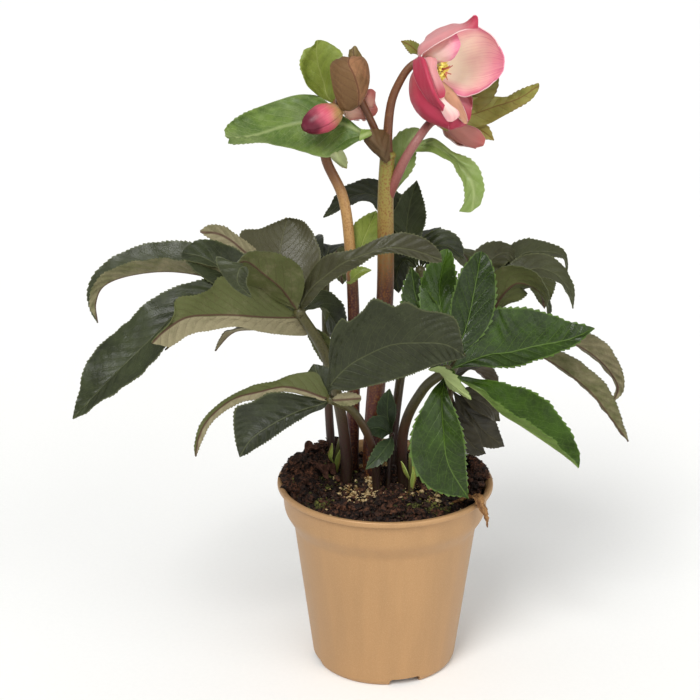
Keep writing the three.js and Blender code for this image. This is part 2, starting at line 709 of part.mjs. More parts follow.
// ---------------------------------------------------------------- bracts
// A bract is one or more blades from one root on a flowering stalk, cut clear of the stalks.
const BRACTS = [
  {
    name: "bract_left_large",
    material: BRACT_GREEN,
    root: [-3, -3, 311],
    blades: [
      {
        to: [[-8, -8, 320], [-12, -10, 328], [-14, -10, 334]],
        wide: 11, face: [[5, 7, 2]], teeth: 2, fold: 25, root: 0.6, point: 0.4, widest: 0.7,
      },
      {
        from: [-10, -9, 325],
        to: [
          [-16, -10, 331], [-24, -4, 334], [-36, 1, 334], [-50, 1, 331], [-73, -6, 327],
          [-89, -15, 324],
        ],
        wide: [21, 17], face: [[0, -7, 6], [0, -7.5, 6.5], [0, -7, 7]], teeth: 6, fold: 4, widest: 0.5,
        root: 0.9, point: 0.6, wave: 1.2,
      },
    ],
  },
  {
    name: "bract_upright_lime",
    material: BRACT_LIME,
    root: [-29, 15, 340],
    blades: [
      {
        to: [[-31, 16, 350], [-36, 16, 364], [-40, 15, 377]],
        wide: 15, face: [[1, -9, 3]], teeth: 3, point: 0.6, root: 1.2, plain: 0.4,
      },
    ],
  },
  {
    name: "bract_folded_brown",
    material: BRACT_BROWN,
    root: [-15, 0, 344],
    blades: [
      {
        from: [-15, -2, 341],
        to: [[-16, -8, 353], [-19, -12, 363], [-21, -12, 371], [-22, -6, 376]],
        wide: [8, 17], face: [[2, 9, 0], [2, 9, 2], [0, 3, 9]], teeth: 4, point: 0.5, root: 0.5,
        widest: 0.45,
      },
      { to: [[-14, 2, 360], [-16, 2, 380]], wide: 4, face: [[0, -9, 1]], teeth: 3 },
    ],
  },
  {
    name: "bract_arching_right",
    material: BRACT_GREEN,
    root: [4, 1, 291],
    blades: [
      {
        to: [
          [12, 7, 311], [21, 8, 318], [32, 2, 317], [43, -4, 310], [48, -8, 298],
          [46, -10, 288], [39, -13, 287],
        ],
        wide: 10, face: [[-3, -6, 3], [-1, -6, 8], [4, -6, 5], [6, -6, 1], [4, -6, -3]], teeth: 6,
        widest: 0.7, fold: 16,
      },
      {
        to: [[9, 8, 307], [11, 12, 317], [18, 13, 327]],
        wide: 11, face: [[2, -8, 2]], teeth: 4, point: 0.6,
      },
    ],
  },
  {
    name: "bract_olive_right",
    material: BRACT_OLIVE,
    root: [27, 13, 332],
    blades: [
      {
        to: [[40, 18, 335], [52, 19, 339], [66, 18, 343], [78, 16, 348], [87, 14, 352]],
        wide: [5, 15], face: [[0, -9, 4]], teeth: 5, widest: 0.42, fold: 4,
      },
      {
        to: [[42, 19, 343], [54, 20, 352], [62, 20, 359]],
        wide: 9, face: [[1, -9, 3]], teeth: 2, fold: 4,
      },
      { to: [[44, 16, 328], [54, 15, 325], [61, 14, 320]], wide: 6, face: [[0, -9, 3]], teeth: 2 },
    ],
  },
  {
    name: "bract_olive_tip",
    material: BRACT_OLIVE,
    root: [12.5, 0, 367],
    blades: [{ to: [[12, 2, 374], [6, 2, 378]], wide: 3.5, face: [[1, -8, 3]], teeth: 2 }],
  },
  {
    name: "bract_side_low",
    material: BRACT_LIME,
    root: [-21, 4, 238],
    blades: [
      {
        to: [[-21, -1, 241], [-16, -3, 246], [-9, -3, 248]],
        wide: 4.5, face: [[0, -4, 7]], teeth: 2,
      },
    ],
  },
  {
    name: "bract_side_middle",
    material: BRACT_LIME,
    root: [-19, 6, 247],
    blades: [
      {
        to: [[-15, 8, 258], [-11, 11, 268], [-6, 13, 279]],
        wide: 9, face: [[-2, -8, 2]], teeth: 3,
      },
    ],
  },
  {
    name: "bract_side_upper",
    material: BRACT_LIME,
    root: [-34, 10, 312],
    blades: [
      {
        to: [[-30, 4, 317], [-24, 0, 312], [-20, -1, 305]],
        wide: 6, face: [[3, -5, 6]], teeth: 2,
      },
    ],
  },
];

function bract({ root, blades }) {
  const whole = fused(blades.map((blade) => leaflet(blade.from ?? root, blade)));
  return largest(cut(whole, [...MAIN_PARTS, ...SIDE_PARTS].map(roomFor)));
}

// ---------------------------------------------------------------- blooms
const RECEPTACLE_RADIUS = 3.4;
const NECTARY_RING = 4.2;
const NECTARY_COUNT = 6;
const STAMEN_COUNT = 14;
const STAMEN_LENGTH = 8;
const STAMEN_SPREAD_DEG = 54;
const ANTHER_RADIUS = 1.2;
const STYLE_COUNT = 4;
const OPEN_BLOOM = {
  centre: [17, -2, 366],
  axis: [0.78, -0.6, -0.18],
  sepals: [
    {
      to: [[30, 8, 369], [48, 7, 368], [63, -3, 363]],
      wide: 21, face: [[-2, -9, 1], [-7, -6, 0]], point: 0.4,
    },
    {
      to: [[21, -2, 375], [33, -9, 384], [49, -15, 392]],
      wide: 17, face: [[6, -4, -7], [1, -2, -9]], point: 0.8,
    },
    {
      to: [[14, -12, 366], [16, -25, 360], [20, -34, 353], [26, -38, 347]],
      wide: 17, face: [[8, 3, 0], [9, 5, 2]],
    },
    { to: [[12, -8, 352], [18, -18, 338], [34, -24, 331]], wide: 17, face: [[6, 2, 8], [1, 2, 9]] },
    { to: [[24, 4, 352], [36, 4, 340], [50, -6, 334]], wide: 16, face: [[2, -5, 8], [-6, -3, 7]] },
  ],
};
const LOW_BLOOM = {
  centre: [31, 23, 329],
  axis: [0.85, 0.2, -0.45],
  length: 27,
  spread: 8,
  wide: 9,
  roll: 0.4,
};
const HIDDEN_BLOOM = {
  centre: [-17, 13, 341],
  axis: [0.1, 0.95, -0.25],
  length: 15,
  spread: 13,
  wide: 8,
  roll: 0.6,
};
const SEPAL_COUNT = 5;
const LAP = 0.45; // turns each sepal so that one margin lies outside its neighbour's

// Two directions square to an axis and to each other.
function across(axis) {
  const forward = vector(axis).normalize();
  const start = Math.abs(forward.z) < 0.9 ? new THREE.Vector3(0, 0, 1) : new THREE.Vector3(1, 0, 0);
  const first = new THREE.Vector3().crossVectors(start, forward).normalize();
  return [first, new THREE.Vector3().crossVectors(forward, first), forward];
}

function sepalsOf({ centre, sepals }, stalks) {
  const start = (one) => fromHub(centre, one.to[0], RECEPTACLE_RADIUS * 0.6);
  const cup = [knob(centre, RECEPTACLE_RADIUS), ...sepals.map((one) => sepal(start(one), one))];
  return largest(cut(fused(cup), stalks.map(roomFor)));
}

// A half-open bloom: like sepals spaced evenly round its axis.
function halfOpenBloom({ centre, axis, length, spread, wide, roll }, stalks) {
  const [first, second, forward] = across(axis);
  const sepals = Array.from({ length: SEPAL_COUNT }, (_, i) => {
    const turn = roll + (2 * Math.PI * i) / SEPAL_COUNT;
    const outward = first.clone().multiplyScalar(Math.cos(turn));
    outward.addScaledVector(second, Math.sin(turn));
    const sideways = new THREE.Vector3().crossVectors(forward, outward);
    const at = (ahead, out) =>
      vector(centre).addScaledVector(forward, length * ahead).addScaledVector(outward, spread * out);
    return {
      to: [at(0.25, 0.85), at(0.65, 1), at(1, 0.75)].map((p) => p.toArray()),
      wide,
      face: [outward.clone().addScaledVector(sideways, LAP).negate().toArray()],
      columns: [-1, 0, 1],
      fold: 28,
    };
  });
  return sepalsOf({ centre, sepals }, stalks);
}

// Bodies set on a spiral over a dome round the bloom's axis.
function onDome({ centre, axis }, count, start, spreadDeg, build) {
  const [first, second, forward] = across(axis);
  const golden = Math.PI * (3 - Math.sqrt(5));
  return Array.from({ length: count }, (_, k) => {
    const i = k + 3; // the middle is left free for the styles
    const tilt = THREE.MathUtils.degToRad(spreadDeg) * Math.sqrt((i + 0.5) / (count + 3));
    const direction = forward.clone().multiplyScalar(Math.cos(tilt));
    direction.addScaledVector(first, Math.sin(tilt) * Math.cos(golden * i));
    direction.addScaledVector(second, Math.sin(tilt) * Math.sin(golden * i));
    return build(vector(centre).addScaledVector(forward, start), direction);
  });
}

function stamens(bloom) {
  const random = seededRandom(SEED);
  const core = RECEPTACLE_RADIUS + CLEARANCE;
  const filaments = onDome(bloom, STAMEN_COUNT, core + 2.4, STAMEN_SPREAD_DEG, (base, direction) => {
    const length = STAMEN_LENGTH * (1 + 0.3 * random());
    const end = base.clone().addScaledVector(direction, length);
    const line = [base, end].map((p) => p.toArray());
    const anther = new THREE.OctahedronGeometry(ANTHER_RADIUS).translate(end.x, end.y, end.z);
    return stalk({ line, radii: [0.7, 0.5], sides: 3 }).add(solidOf(anther));
  });
  const [, , forward] = across(bloom.axis);
  const heart = vector(bloom.centre).addScaledVector(forward, core + 1.6).toArray();
  return largest(cut(fused([knob(heart, 2.6), ...filaments]), [knob(bloom.centre, core)]));
}

function nectaries(bloom) {
  const [first, second, forward] = across(bloom.axis);
  const ring = new THREE.TorusGeometry(NECTARY_RING, 0.7, 4, NECTARY_COUNT);
  const turnTo = new THREE.Matrix4().makeBasis(first, second, forward);
  const at = vector(bloom.centre).addScaledVector(forward, 4.8);
  ring.applyMatrix4(turnTo).translate(at.x, at.y, at.z);
  const cones = Array.from({ length: NECTARY_COUNT }, (_, i) => {
    const turn = (2 * Math.PI * i) / NECTARY_COUNT;
    const outward = first.clone().multiplyScalar(Math.cos(turn));
    outward.addScaledVector(second, Math.sin(turn));
    const base = at.clone().addScaledVector(outward, NECTARY_RING);
    const end = base.clone().addScaledVector(outward, 1.4).addScaledVector(forward, 3.2);
    return stalk({ line: [base, end].map((p) => p.toArray()), radii: [0.6, 1.2], sides: 4 });
  });
  return fused([solidOf(ring), ...cones]);
}

function styles(bloom) {
  const [first, second, forward] = across(bloom.axis);
  const base = vector(bloom.centre).addScaledVector(forward, RECEPTACLE_RADIUS + 7.6);
  const curves = Array.from({ length: STYLE_COUNT }, (_, i) => {
    const turn = (2 * Math.PI * i) / STYLE_COUNT + 0.5;
    const outward = first.clone().multiplyScalar(Math.cos(turn));
    outward.addScaledVector(second, Math.sin(turn));
    const at = (ahead, out) =>
      base.clone().addScaledVector(forward, ahead).addScaledVector(outward, out).toArray();
    return stalk({ line: [at(0, 0.5), at(5, 1), at(10, 3.6)], radii: [0.9, 0.5], sides: 4 });
  });
  return fused([knob(base.toArray(), 1.6), ...curves]);
}

// ---------------------------------------------------------------- closed bud
const BUD = { base: [-26, -8, 341], tip: [-47, -19, 333], radius: 7.6 };

// An egg of overlapping sepals: each one's leading edge stands a little proud.
function closedBud({ base, tip, radius }) {
  const forward = vector(tip).sub(vector(base));
  const length = forward.length();
  const [first, second, ahead] = across(forward.toArray());
  const profile = [[0, 0.28], [0.12, 0.7], [0.32, 0.97], [0.5, 1], [0.7, 0.82], [0.87, 0.5], [1, 0.16]];
  const rounds = 15;
  const points = [];
  const triangles = [];
  profile.forEach(([share, swell]) => {
    for (let k = 0; k < rounds; k++) {
      const lap = (k % 3) / 3 - 0.33; // every sepal covers a third of the ring, then steps in
      const turn = (2 * Math.PI * k) / rounds + share * 0.5;
      const reach = radius * swell * (1 + 0.07 * lap);
      const at = vector(base).addScaledVector(ahead, length * share);
      at.addScaledVector(first, reach * Math.cos(turn));
      points.push(at.addScaledVector(second, reach * Math.sin(turn)));
    }
  });
  for (let i = 0; i < profile.length - 1; i++) {
    for (let k = 0; k < rounds; k++) {
      const a = i * rounds + k;
      const b = i * rounds + ((k + 1) % rounds);
      triangles.push([a, b, b + rounds], [a, b + rounds, a + rounds]);
    }
  }
  for (let k = 1; k < rounds - 1; k++) {
    const last = (profile.length - 1) * rounds;
    triangles.push([0, k + 1, k], [last, last + k, last + k + 1]);
  }
  return largest(cut(solidOf(indexedGeometry(points, triangles)), SIDE_PARTS.map(roomFor)));
}

// ---------------------------------------------------------------- dry scrap
// A withered blade that lies on the soil and hangs over the rim.
function dryScrap() {
  const blade = {
    to: [[49, -33, 119], [53, -38, 119.6], [56.5, -39, 113], [59, -40, 103]],
    wide: 3.4,
    face: [[0, 0, 9], [0, 0, 9], [6, -4, 3], [8, -5, 0]],
    teeth: 3,
    fold: 10,
  };
  return leaflet([38, -25, 112], blade);
}

// ---------------------------------------------------------------- assembly
const plant = new THREE.Group();

function place(name, solid, material) {
  const mesh = new THREE.Mesh(geometryOf(solid), material);
  mesh.name = name;
  plant.add(mesh);
}

const standing = [MAIN_STALK, SIDE_STALK, ...LEAVES.map((one) => one.stem), ...SHEATHED_BUDS];

place("pot", pot(), GOLD_PLASTIC);
place("soil", largest(cut(soil(), standing.map(roomFor))), PEAT);
place("flower_stalk_main", fused(MAIN_PARTS.map(stalk)), STALK_SKIN);
place("flower_stalk_side", fused(SIDE_PARTS.map(stalk)), STALK_SKIN);
for (const one of LEAVES) place(one.name, leaf(one), one.material);
for (const one of SHEATHED_BUDS) place(one.name, sheathedBud(one), BRACT_LIME);
for (const one of BRACTS) place(one.name, bract(one), one.material);
place("bloom_open_sepals", sepalsOf(OPEN_BLOOM, MAIN_PARTS), SEPAL_PINK);
place("bloom_open_nectaries", nectaries(OPEN_BLOOM), NECTARY_GREEN);
place("bloom_open_stamens", stamens(OPEN_BLOOM), ANTHER_YELLOW);
place("bloom_open_styles", styles(OPEN_BLOOM), STYLE_RED);
place("bloom_low_right", halfOpenBloom(LOW_BLOOM, MAIN_PARTS), SEPAL_SALMON);
place("bloom_hidden_left", halfOpenBloom(HIDDEN_BLOOM, MAIN_PARTS), SEPAL_SALMON);
place("bud_closed", closedBud(BUD), SEPAL_PINK);
place("dry_leaf_scrap", dryScrap(), DRY_BROWN);

export default plant;
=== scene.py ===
"""A potted hellebore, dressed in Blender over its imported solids.

Sizes are in millimetres until add_piece turns them into metres. The origin is the centre of
the pot's flat base, +Z is up the plant and -Y is its front.
"""

import math
import random

import bmesh
import bpy
import numpy as np
from mathutils import Matrix, Vector, noise


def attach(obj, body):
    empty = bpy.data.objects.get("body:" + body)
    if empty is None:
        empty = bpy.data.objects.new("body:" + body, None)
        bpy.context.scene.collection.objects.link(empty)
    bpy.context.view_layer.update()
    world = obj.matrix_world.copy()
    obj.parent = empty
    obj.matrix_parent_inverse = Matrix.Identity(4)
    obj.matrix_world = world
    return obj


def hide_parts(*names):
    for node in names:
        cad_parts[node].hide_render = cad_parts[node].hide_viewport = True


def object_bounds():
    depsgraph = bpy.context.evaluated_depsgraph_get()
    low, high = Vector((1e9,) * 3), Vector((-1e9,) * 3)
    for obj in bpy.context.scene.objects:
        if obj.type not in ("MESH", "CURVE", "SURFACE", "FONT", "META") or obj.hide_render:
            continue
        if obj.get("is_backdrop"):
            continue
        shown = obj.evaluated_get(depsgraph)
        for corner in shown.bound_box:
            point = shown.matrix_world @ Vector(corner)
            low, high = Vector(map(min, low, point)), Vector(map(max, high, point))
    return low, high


bl_info = {
    "name": "Potted hellebore",
    "version": (1, 0, 0),
    "blender": (4, 5, 0),
    "location": "3D View > Sidebar > Hellebore",
    "description": "Builds a flowering hellebore in its nursery pot, piece by piece",
    "category": "Add Mesh",
}

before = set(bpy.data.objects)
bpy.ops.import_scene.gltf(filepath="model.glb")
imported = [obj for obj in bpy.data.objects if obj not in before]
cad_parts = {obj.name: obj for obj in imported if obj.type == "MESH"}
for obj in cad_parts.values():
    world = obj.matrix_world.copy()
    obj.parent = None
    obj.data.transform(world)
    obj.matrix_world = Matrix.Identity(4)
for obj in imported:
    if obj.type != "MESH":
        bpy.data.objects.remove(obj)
SOLID_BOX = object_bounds()
MM = 0.001
MIDDLING = (0.5, 0.0, 0.0)  # a point's usual tint: lightness, flush and paleness


# ---------------------------------------------------------------- colours and nodes
def linear(code):
    """A hex colour as the linear red, green and blue that Blender works in."""
    parts = [int(code[i : i + 2], 16) / 255 for i in (0, 2, 4)]
    return tuple(c / 12.92 if c <= 0.04045 else ((c + 0.055) / 1.055) ** 2.4 for c in parts)


def add(tree, kind, settings=None, inputs=None):
    """Adds a shader node, sets its fields, and fills its sockets with values or links."""
    made = tree.nodes.new("ShaderNode" + kind)
    for field, value in (settings or {}).items():
        setattr(made, field, value)
    for name, value in (inputs or {}).items():
        socket = made.inputs[name]
        if isinstance(value, bpy.types.Node):
            value = value.outputs[0]
        if isinstance(value, bpy.types.NodeSocket):
            tree.links.new(value, socket)
        elif socket.type == "RGBA":
            socket.default_value = (*value[:3], 1.0)
        else:
            socket.default_value = value
    return made


COLOURS = {"data_type": "RGBA"}  # a Mix node's colours are inputs 6 and 7 and output 2
EASED = {"interpolation_type": "SMOOTHSTEP"}
ADD = {"operation": "ADD"}
CLAMPED_SUM = {**ADD, "use_clamp": True}
MULTIPLY = {"operation": "MULTIPLY"}
MAXIMUM = {"operation": "MAXIMUM"}
SCALED = {"operation": "MULTIPLY_ADD"}  # input 0 times input 1, plus input 2


def new_material(name):
    """A node material, its empty tree, and where each point lies in its object."""
    material = bpy.data.materials.new(name)
    material.use_nodes = True
    tree = material.node_tree
    tree.nodes.clear()
    return material, tree, add(tree, "TexCoord").outputs["Object"]


def finish_material(tree, colour, roughness, bump, specular=0.5, **constants):
    """Closes a material with one plain dielectric surface."""
    inputs = {"Base Color": colour, "Roughness": roughness, "Normal": bump, **constants}
    inputs["Specular IOR Level"] = specular
    surface = add(tree, "BsdfPrincipled", None, inputs)
    add(tree, "OutputMaterial", None, {"Surface": surface})


# ---------------------------------------------------------------- mesh building
UV_MAPS = ("blade", "share", "vein")


def part(points, faces, skin=0, tint=MIDDLING, **maps):
    """A stretch of mesh: points in mm, faces, a material number for each face, and what the
    materials read at each point. tint holds lightness, flush and paleness."""
    count = len(points)
    skins = np.full(len(faces), skin) if np.isscalar(skin) else np.asarray(skin)
    made = {"points": np.asarray(points, float), "faces": faces, "skins": skins}
    made["tint"] = np.broadcast_to(np.asarray(tint, float), (count, 3))
    for name in UV_MAPS:
        made[name] = np.asarray(maps.get(name, np.zeros((count, 2))), float)
    return made


def add_piece(name, parts, materials, slot, replaced=(), sharp_deg=50):
    """Joins parts into one mesh object in the frame, with its UV maps and tint."""
    offset = 0
    faces = []
    for one in parts:
        faces.extend((np.asarray(face) + offset).tolist() for face in one["faces"])
        offset += len(one["points"])
    mesh = bpy.data.meshes.new(name)
    mesh.from_pydata((np.vstack([one["points"] for one in parts]) * MM).tolist(), [], faces)
    mesh.polygons.foreach_set("material_index", np.concatenate([one["skins"] for one in parts]))
    corners = np.zeros(len(mesh.loops), int)
    mesh.loops.foreach_get("vertex_index", corners)
    for uv_map in UV_MAPS:
        values = np.vstack([one[uv_map] for one in parts])
        layer = mesh.uv_layers.new(name=uv_map)
        layer.data.foreach_set("uv", values[corners].ravel())
    tint = np.vstack([one["tint"] for one in parts])
    attribute = mesh.attributes.new("tint", "FLOAT_COLOR", "POINT")
    attribute.data.foreach_set("color", np.hstack([tint, np.ones((len(tint), 1))]).ravel())
    for material in materials:
        mesh.materials.append(material)
    mesh.shade_smooth()
    if sharp_deg:
        mesh.set_sharp_from_angle(angle=math.radians(sharp_deg))
    settle(bpy.data.objects.new(name, mesh), slot, replaced)


def settle(piece, slot, replaced=()):
    """Puts a finished piece in the scene, on the plant's one body."""
    if not piece.users_collection:
        bpy.context.scene.collection.objects.link(piece)
    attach(piece, "root")
    if replaced:
        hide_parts(*replaced)


def unit(rows):
    """Vectors brought to length 1."""
    return rows / np.maximum(np.linalg.norm(rows, axis=-1, keepdims=True), 1e-9)


def grid_faces(rows, columns, start=0, flip=False, closed=False):
    """Quads over a grid of points; closed joins the last column to the first."""
    faces = []
    for r in range(rows - 1):
        for c in range(columns if closed else columns - 1):
            a = start + r * columns + c
            b = start + r * columns + (c + 1) % columns
            quad = (a, b, b + columns, a + columns)
            faces.append(quad[::-1] if flip else quad)
    return faces


def tube_faces(rings, sides):
    """Quads over closed rings of points, and a fan to each of the two points after them, the
    middle of the first ring and that of the last."""
    faces = grid_faces(rings, sides, closed=True)
    low, last = rings * sides, (rings - 1) * sides
    for k in range(sides):
        n = (k + 1) % sides
        faces += [(low, n, k), (low + 1, last + k, last + n)]
    return faces


def between(t, places, rows):
    """Rows read off at t, evenly between the places where they are listed."""
    return np.stack([np.interp(t, places, rows[:, k]) for k in range(3)], -1)


class SmoothLine:
    """A smooth line through points, walked evenly by its length from 0 to 1."""

    def __init__(self, points):
        knots = np.array([tuple(p) for p in points], float)
        held = np.vstack([2 * knots[0] - knots[1], knots, 2 * knots[-1] - knots[-2]])
        s = np.linspace(0, 1, 50, endpoint=False)[:, None]
        spans = []
        for a, b, c, d in zip(held, held[1:], held[2:], held[3:]):
            leave, arrive = (c - a) / 2, (d - b) / 2
            spans.append(
                (2 * s**3 - 3 * s**2 + 1) * b
                + (s**3 - 2 * s**2 + s) * leave
                + (3 * s**2 - 2 * s**3) * c
                + (s**3 - s**2) * arrive
            )
        self.points = np.vstack([*spans, knots[-1:]])
        steps = np.linalg.norm(np.diff(self.points, axis=0), axis=1)
        walked = np.concatenate([[0], np.cumsum(steps)])
        self.length = walked[-1]
        self.walked = walked / self.length
        self.ahead = unit(np.gradient(self.points, self.walked, axis=0))

    def at(self, t):
        return between(np.clip(t, 0, 1), self.walked, self.points)

    def heading(self, t):
        return unit(between(np.clip(t, 0, 1), self.walked, self.ahead))


# ---------------------------------------------------------------- stalks
def off_axis(ahead):
    """A direction that lies well away from the given one."""
    return np.array([1.0, 0, 0]) if abs(ahead[0]) < 0.8 else np.array([0, 1.0, 0])


def tube(line, radii, sides=18, step=2.0, skin=0, foot=0.0):
    """A round stalk along points, its radius running from first to last. foot swells its
    root by that share."""
    path = SmoothLine(line)
    rows = max(4, int(path.length / step))
    t = np.linspace(0, 1, rows + 1)
    centres, ahead = path.at(t), path.heading(t)
    normal = unit(np.cross(np.cross(ahead[0], off_axis(ahead[0])), ahead[0]))
    turn = np.linspace(0, 2 * np.pi, sides, endpoint=False)[:, None]
    rings = []
    for i in range(rows + 1):
        normal = unit(normal - ahead[i] * normal.dot(ahead[i]))
        radius = radii[0] + (radii[1] - radii[0]) * t[i]
        radius *= 1 + foot * math.exp(-t[i] * path.length / (3 * radii[0]))
        second = np.cross(ahead[i], normal)
        rings.append(centres[i] + radius * (np.cos(turn) * normal + np.sin(turn) * second))
    points = np.vstack([*rings, centres[:1], centres[-1:]])
    along = np.concatenate([np.repeat(t, sides), [0, 1]])
    share = np.stack([np.zeros_like(along), along], 1)
    faces = tube_faces(rows + 1, sides)
    return part(points, faces, skin, share=share, blade=share * path.length)


def ball(centre, radii, axis=(0, 0, 1), tint=MIDDLING, skin=0, rings=10, sides=14):
    """A smooth rounded body of revolution with a long or short axis."""
    ahead = unit(np.array(axis, float))
    first = unit(np.cross(off_axis(ahead), ahead))
    second = np.cross(ahead, first)
    climb = np.linspace(0, np.pi, rings + 1)[:, None, None]
    turn = np.linspace(0, 2 * np.pi, sides, endpoint=False)[None, :, None]
    points = np.array(centre, float) - radii[1] * np.cos(climb) * ahead
    points = points + radii[0] * np.sin(climb) * (np.cos(turn) * first + np.sin(turn) * second)
    faces = grid_faces(rings + 1, sides, closed=True)
    return part(points.reshape(-1, 3), faces, skin, tint)


# ---------------------------------------------------------------- blades
RIB_GROOVE = 0.3  # how far the midrib sinks into the upper face
RIB_RIDGE = 0.55  # and how far it stands out beneath
RIB_WIDTH = 0.9  # to either side, where it has faded to a third
VEIN_SPACING = 8.5  # along the midrib
VEIN_RUN = 1.45  # how far forward a side vein runs for each mm outwards
VEIN_BEND = 0.012  # and how it bends forward towards the margin
PLEAT = 0.4  # how far the side veins sink between the swellings
DENT_WIDTH, DENT_LENGTH, DENT_DEPTH = 19, 23, 2.6
MARGIN_WAVES = (17, 9.5)  # lengths of the waves along a margin
MARGIN_WAVE = 0.4  # their height
PLAIN_PITCH = 3.6  # tooth pitch that spaces the rows of a smooth blade
ROOT_SPREAD = 1.8  # how far from its root each line of a draped blade starts
DRAPE_COLUMNS = 29
MARGIN_COLUMNS = (0, 0.04, 0.1, 0.2, 0.33, 0.47, 0.61, 0.75, 0.88, 0.96, 1)


def outline(t, widest, root, point):
    """Share of the full half width: pointed at both ends, widest at the given place."""
    rise = np.sin(np.pi / 2 * np.clip(t / widest, 0, 1)) ** root
    fall = np.cos(np.pi / 2 * np.clip((t - widest) / (1 - widest), 0, 1)) ** point
    return np.where(t < widest, rise, fall)


def both(value):
    """A value for the left and the right half of a blade, from one or two."""
    return value if isinstance(value, (list, tuple)) else (value, value)


def turned_faces(face, t):
    """The way the upper side looks at each share of the length."""
    listed = unit(np.array(face, float))
    if len(listed) == 1:
        return np.broadcast_to(listed[0], (*t.shape, 3))
    return between(t, np.linspace(0, 1, len(listed)), listed)


def blade_middle(line, blade, t, u):
    """The blade's middle surface, t from root to tip and u from -1 to 1 across, with the
    half width there."""
    wide, fold = both(blade["wide"]), both(blade.get("fold", 12))
    held = np.clip(t, 0, 1)
    along = line.heading(held)
    side = unit(np.cross(along, turned_faces(blade["face"], held)))
    up = np.cross(side, along)
    shape = (blade.get("widest", 0.54), blade.get("root", 1.6), blade.get("point", 0.9))
    share = outline(held, *shape)
    right = u >= 0
    reach = np.maximum(np.where(right, wide[1], wide[0]) * share, blade.get("tip", 0.25))
    out = np.abs(u)
    tilt = np.radians(np.where(right, fold[1], fold[0]) + blade.get("curl", 0) * out)
    turn = 2 * np.pi * blade.get("waves", 2.5) * held + blade.get("phase", 0) + right
    ripple = blade.get("wave", 0) * np.sin(turn) * out**2 * share
    place = line.at(held) + side * (reach * u * np.cos(tilt))[..., None]
    return place + up * (reach * out * np.sin(tilt) + ripple)[..., None], reach


def saw_teeth(length, tooth, plain, seed):
    """Places along a blade, three to a tooth, and how far the margin stands out at each.
    tooth is (pitch, depth), or None for a smooth margin; the first share plain has no teeth."""
    draw = random.Random(seed)
    pitch, depth = tooth or (PLAIN_PITCH, 0)
    count = max(10, round(length / pitch)) * 3
    t = np.linspace(0, 1, count + 1)
    rise = np.array([0, 0.55, 1.0])[np.arange(count + 1) % 3]
    vary = np.repeat([0.6 + 0.7 * draw.random() for _ in range(count // 3 + 1)], 3)[: count + 1]
    fade = np.clip((t - plain * 0.7) / 0.12, 0, 1) * np.clip((1 - t) / 0.05, 0, 1)
    return t, depth * rise * vary * fade


def blade_part(start, blade, tooth=None, thickness=0.5, tint=MIDDLING, seed=0):
    """One leaflet, bract or sepal of even thickness round a middle line."""
    line = SmoothLine([start, *blade["to"]])
    t, lift = saw_teeth(line.length, blade.get("tooth", tooth), blade.get("plain", 0.3), seed)
    columns = np.array([*(-c for c in MARGIN_COLUMNS[:0:-1]), *MARGIN_COLUMNS])
    tt, uu = np.meshgrid(t, columns, indexing="ij")
    toothed = (np.abs(uu) > 0.99) * lift[:, None]
    tt = tt + toothed * 0.6 / line.length
    middle, reach = blade_middle(line, blade, tt, uu)
    uu = uu * (1 + toothed / np.maximum(reach, 3))
    middle, reach = blade_middle(line, blade, tt, uu)
    smooth, _ = blade_middle(line, blade, *np.meshgrid(t, columns, indexing="ij"))
    normal = unit(np.cross(np.gradient(smooth, axis=1), np.gradient(smooth, axis=0)))
    widest = max(both(blade["wide"]))
    places = (uu * reach, tt * line.length, uu, tt)
    return thickened(middle, normal, places, widest, blade, thickness, tint, seed)


def draped_part(root, drape, tooth=None, thickness=0.5, tint=MIDDLING, seed=0):
    """A blade draped through lines from its root to its tip, listed from one margin to the
    other. It folds and rolls more freely than one round a middle line."""
    paths = [SmoothLine([from_hub(root, line[0], ROOT_SPREAD), *line]) for line in drape["lines"]]
    length = max(path.length for path in paths)
    t, lift = saw_teeth(length, drape.get("tooth", tooth), drape.get("plain", 0.3), seed)
    columns = np.sin(np.linspace(-1, 1, DRAPE_COLUMNS) * np.pi / 2)
    tt, uu = np.meshgrid(t, columns, indexing="ij")
    rows = []
    for row in np.stack([path.at(t) for path in paths], 1):
        curve = SmoothLine(row).points
        place = (columns + 1) / 2 * (len(curve) - 1)
        rows.append(between(place, np.arange(len(curve)), curve))
    middle = np.array(rows)
    aside, ahead = np.gradient(middle, axis=1), np.gradient(middle, axis=0)
    normal = unit(np.cross(aside, ahead))
    steps = np.linalg.norm(np.diff(middle, axis=1), axis=2)
    walked = np.hstack([np.zeros((len(t), 1)), np.cumsum(steps, axis=1)])
    x = walked - walked[:, DRAPE_COLUMNS // 2][:, None]
    middle[:, 0] -= unit(aside[:, 0]) * lift[:, None]
    middle[:, -1] += unit(aside[:, -1]) * lift[:, None]
    places = (x, tt * length, uu, tt)
    drape = {"buckle": 0.35, **drape}
    return thickened(middle, normal, places, walked.max() / 2, drape, thickness, tint, seed)


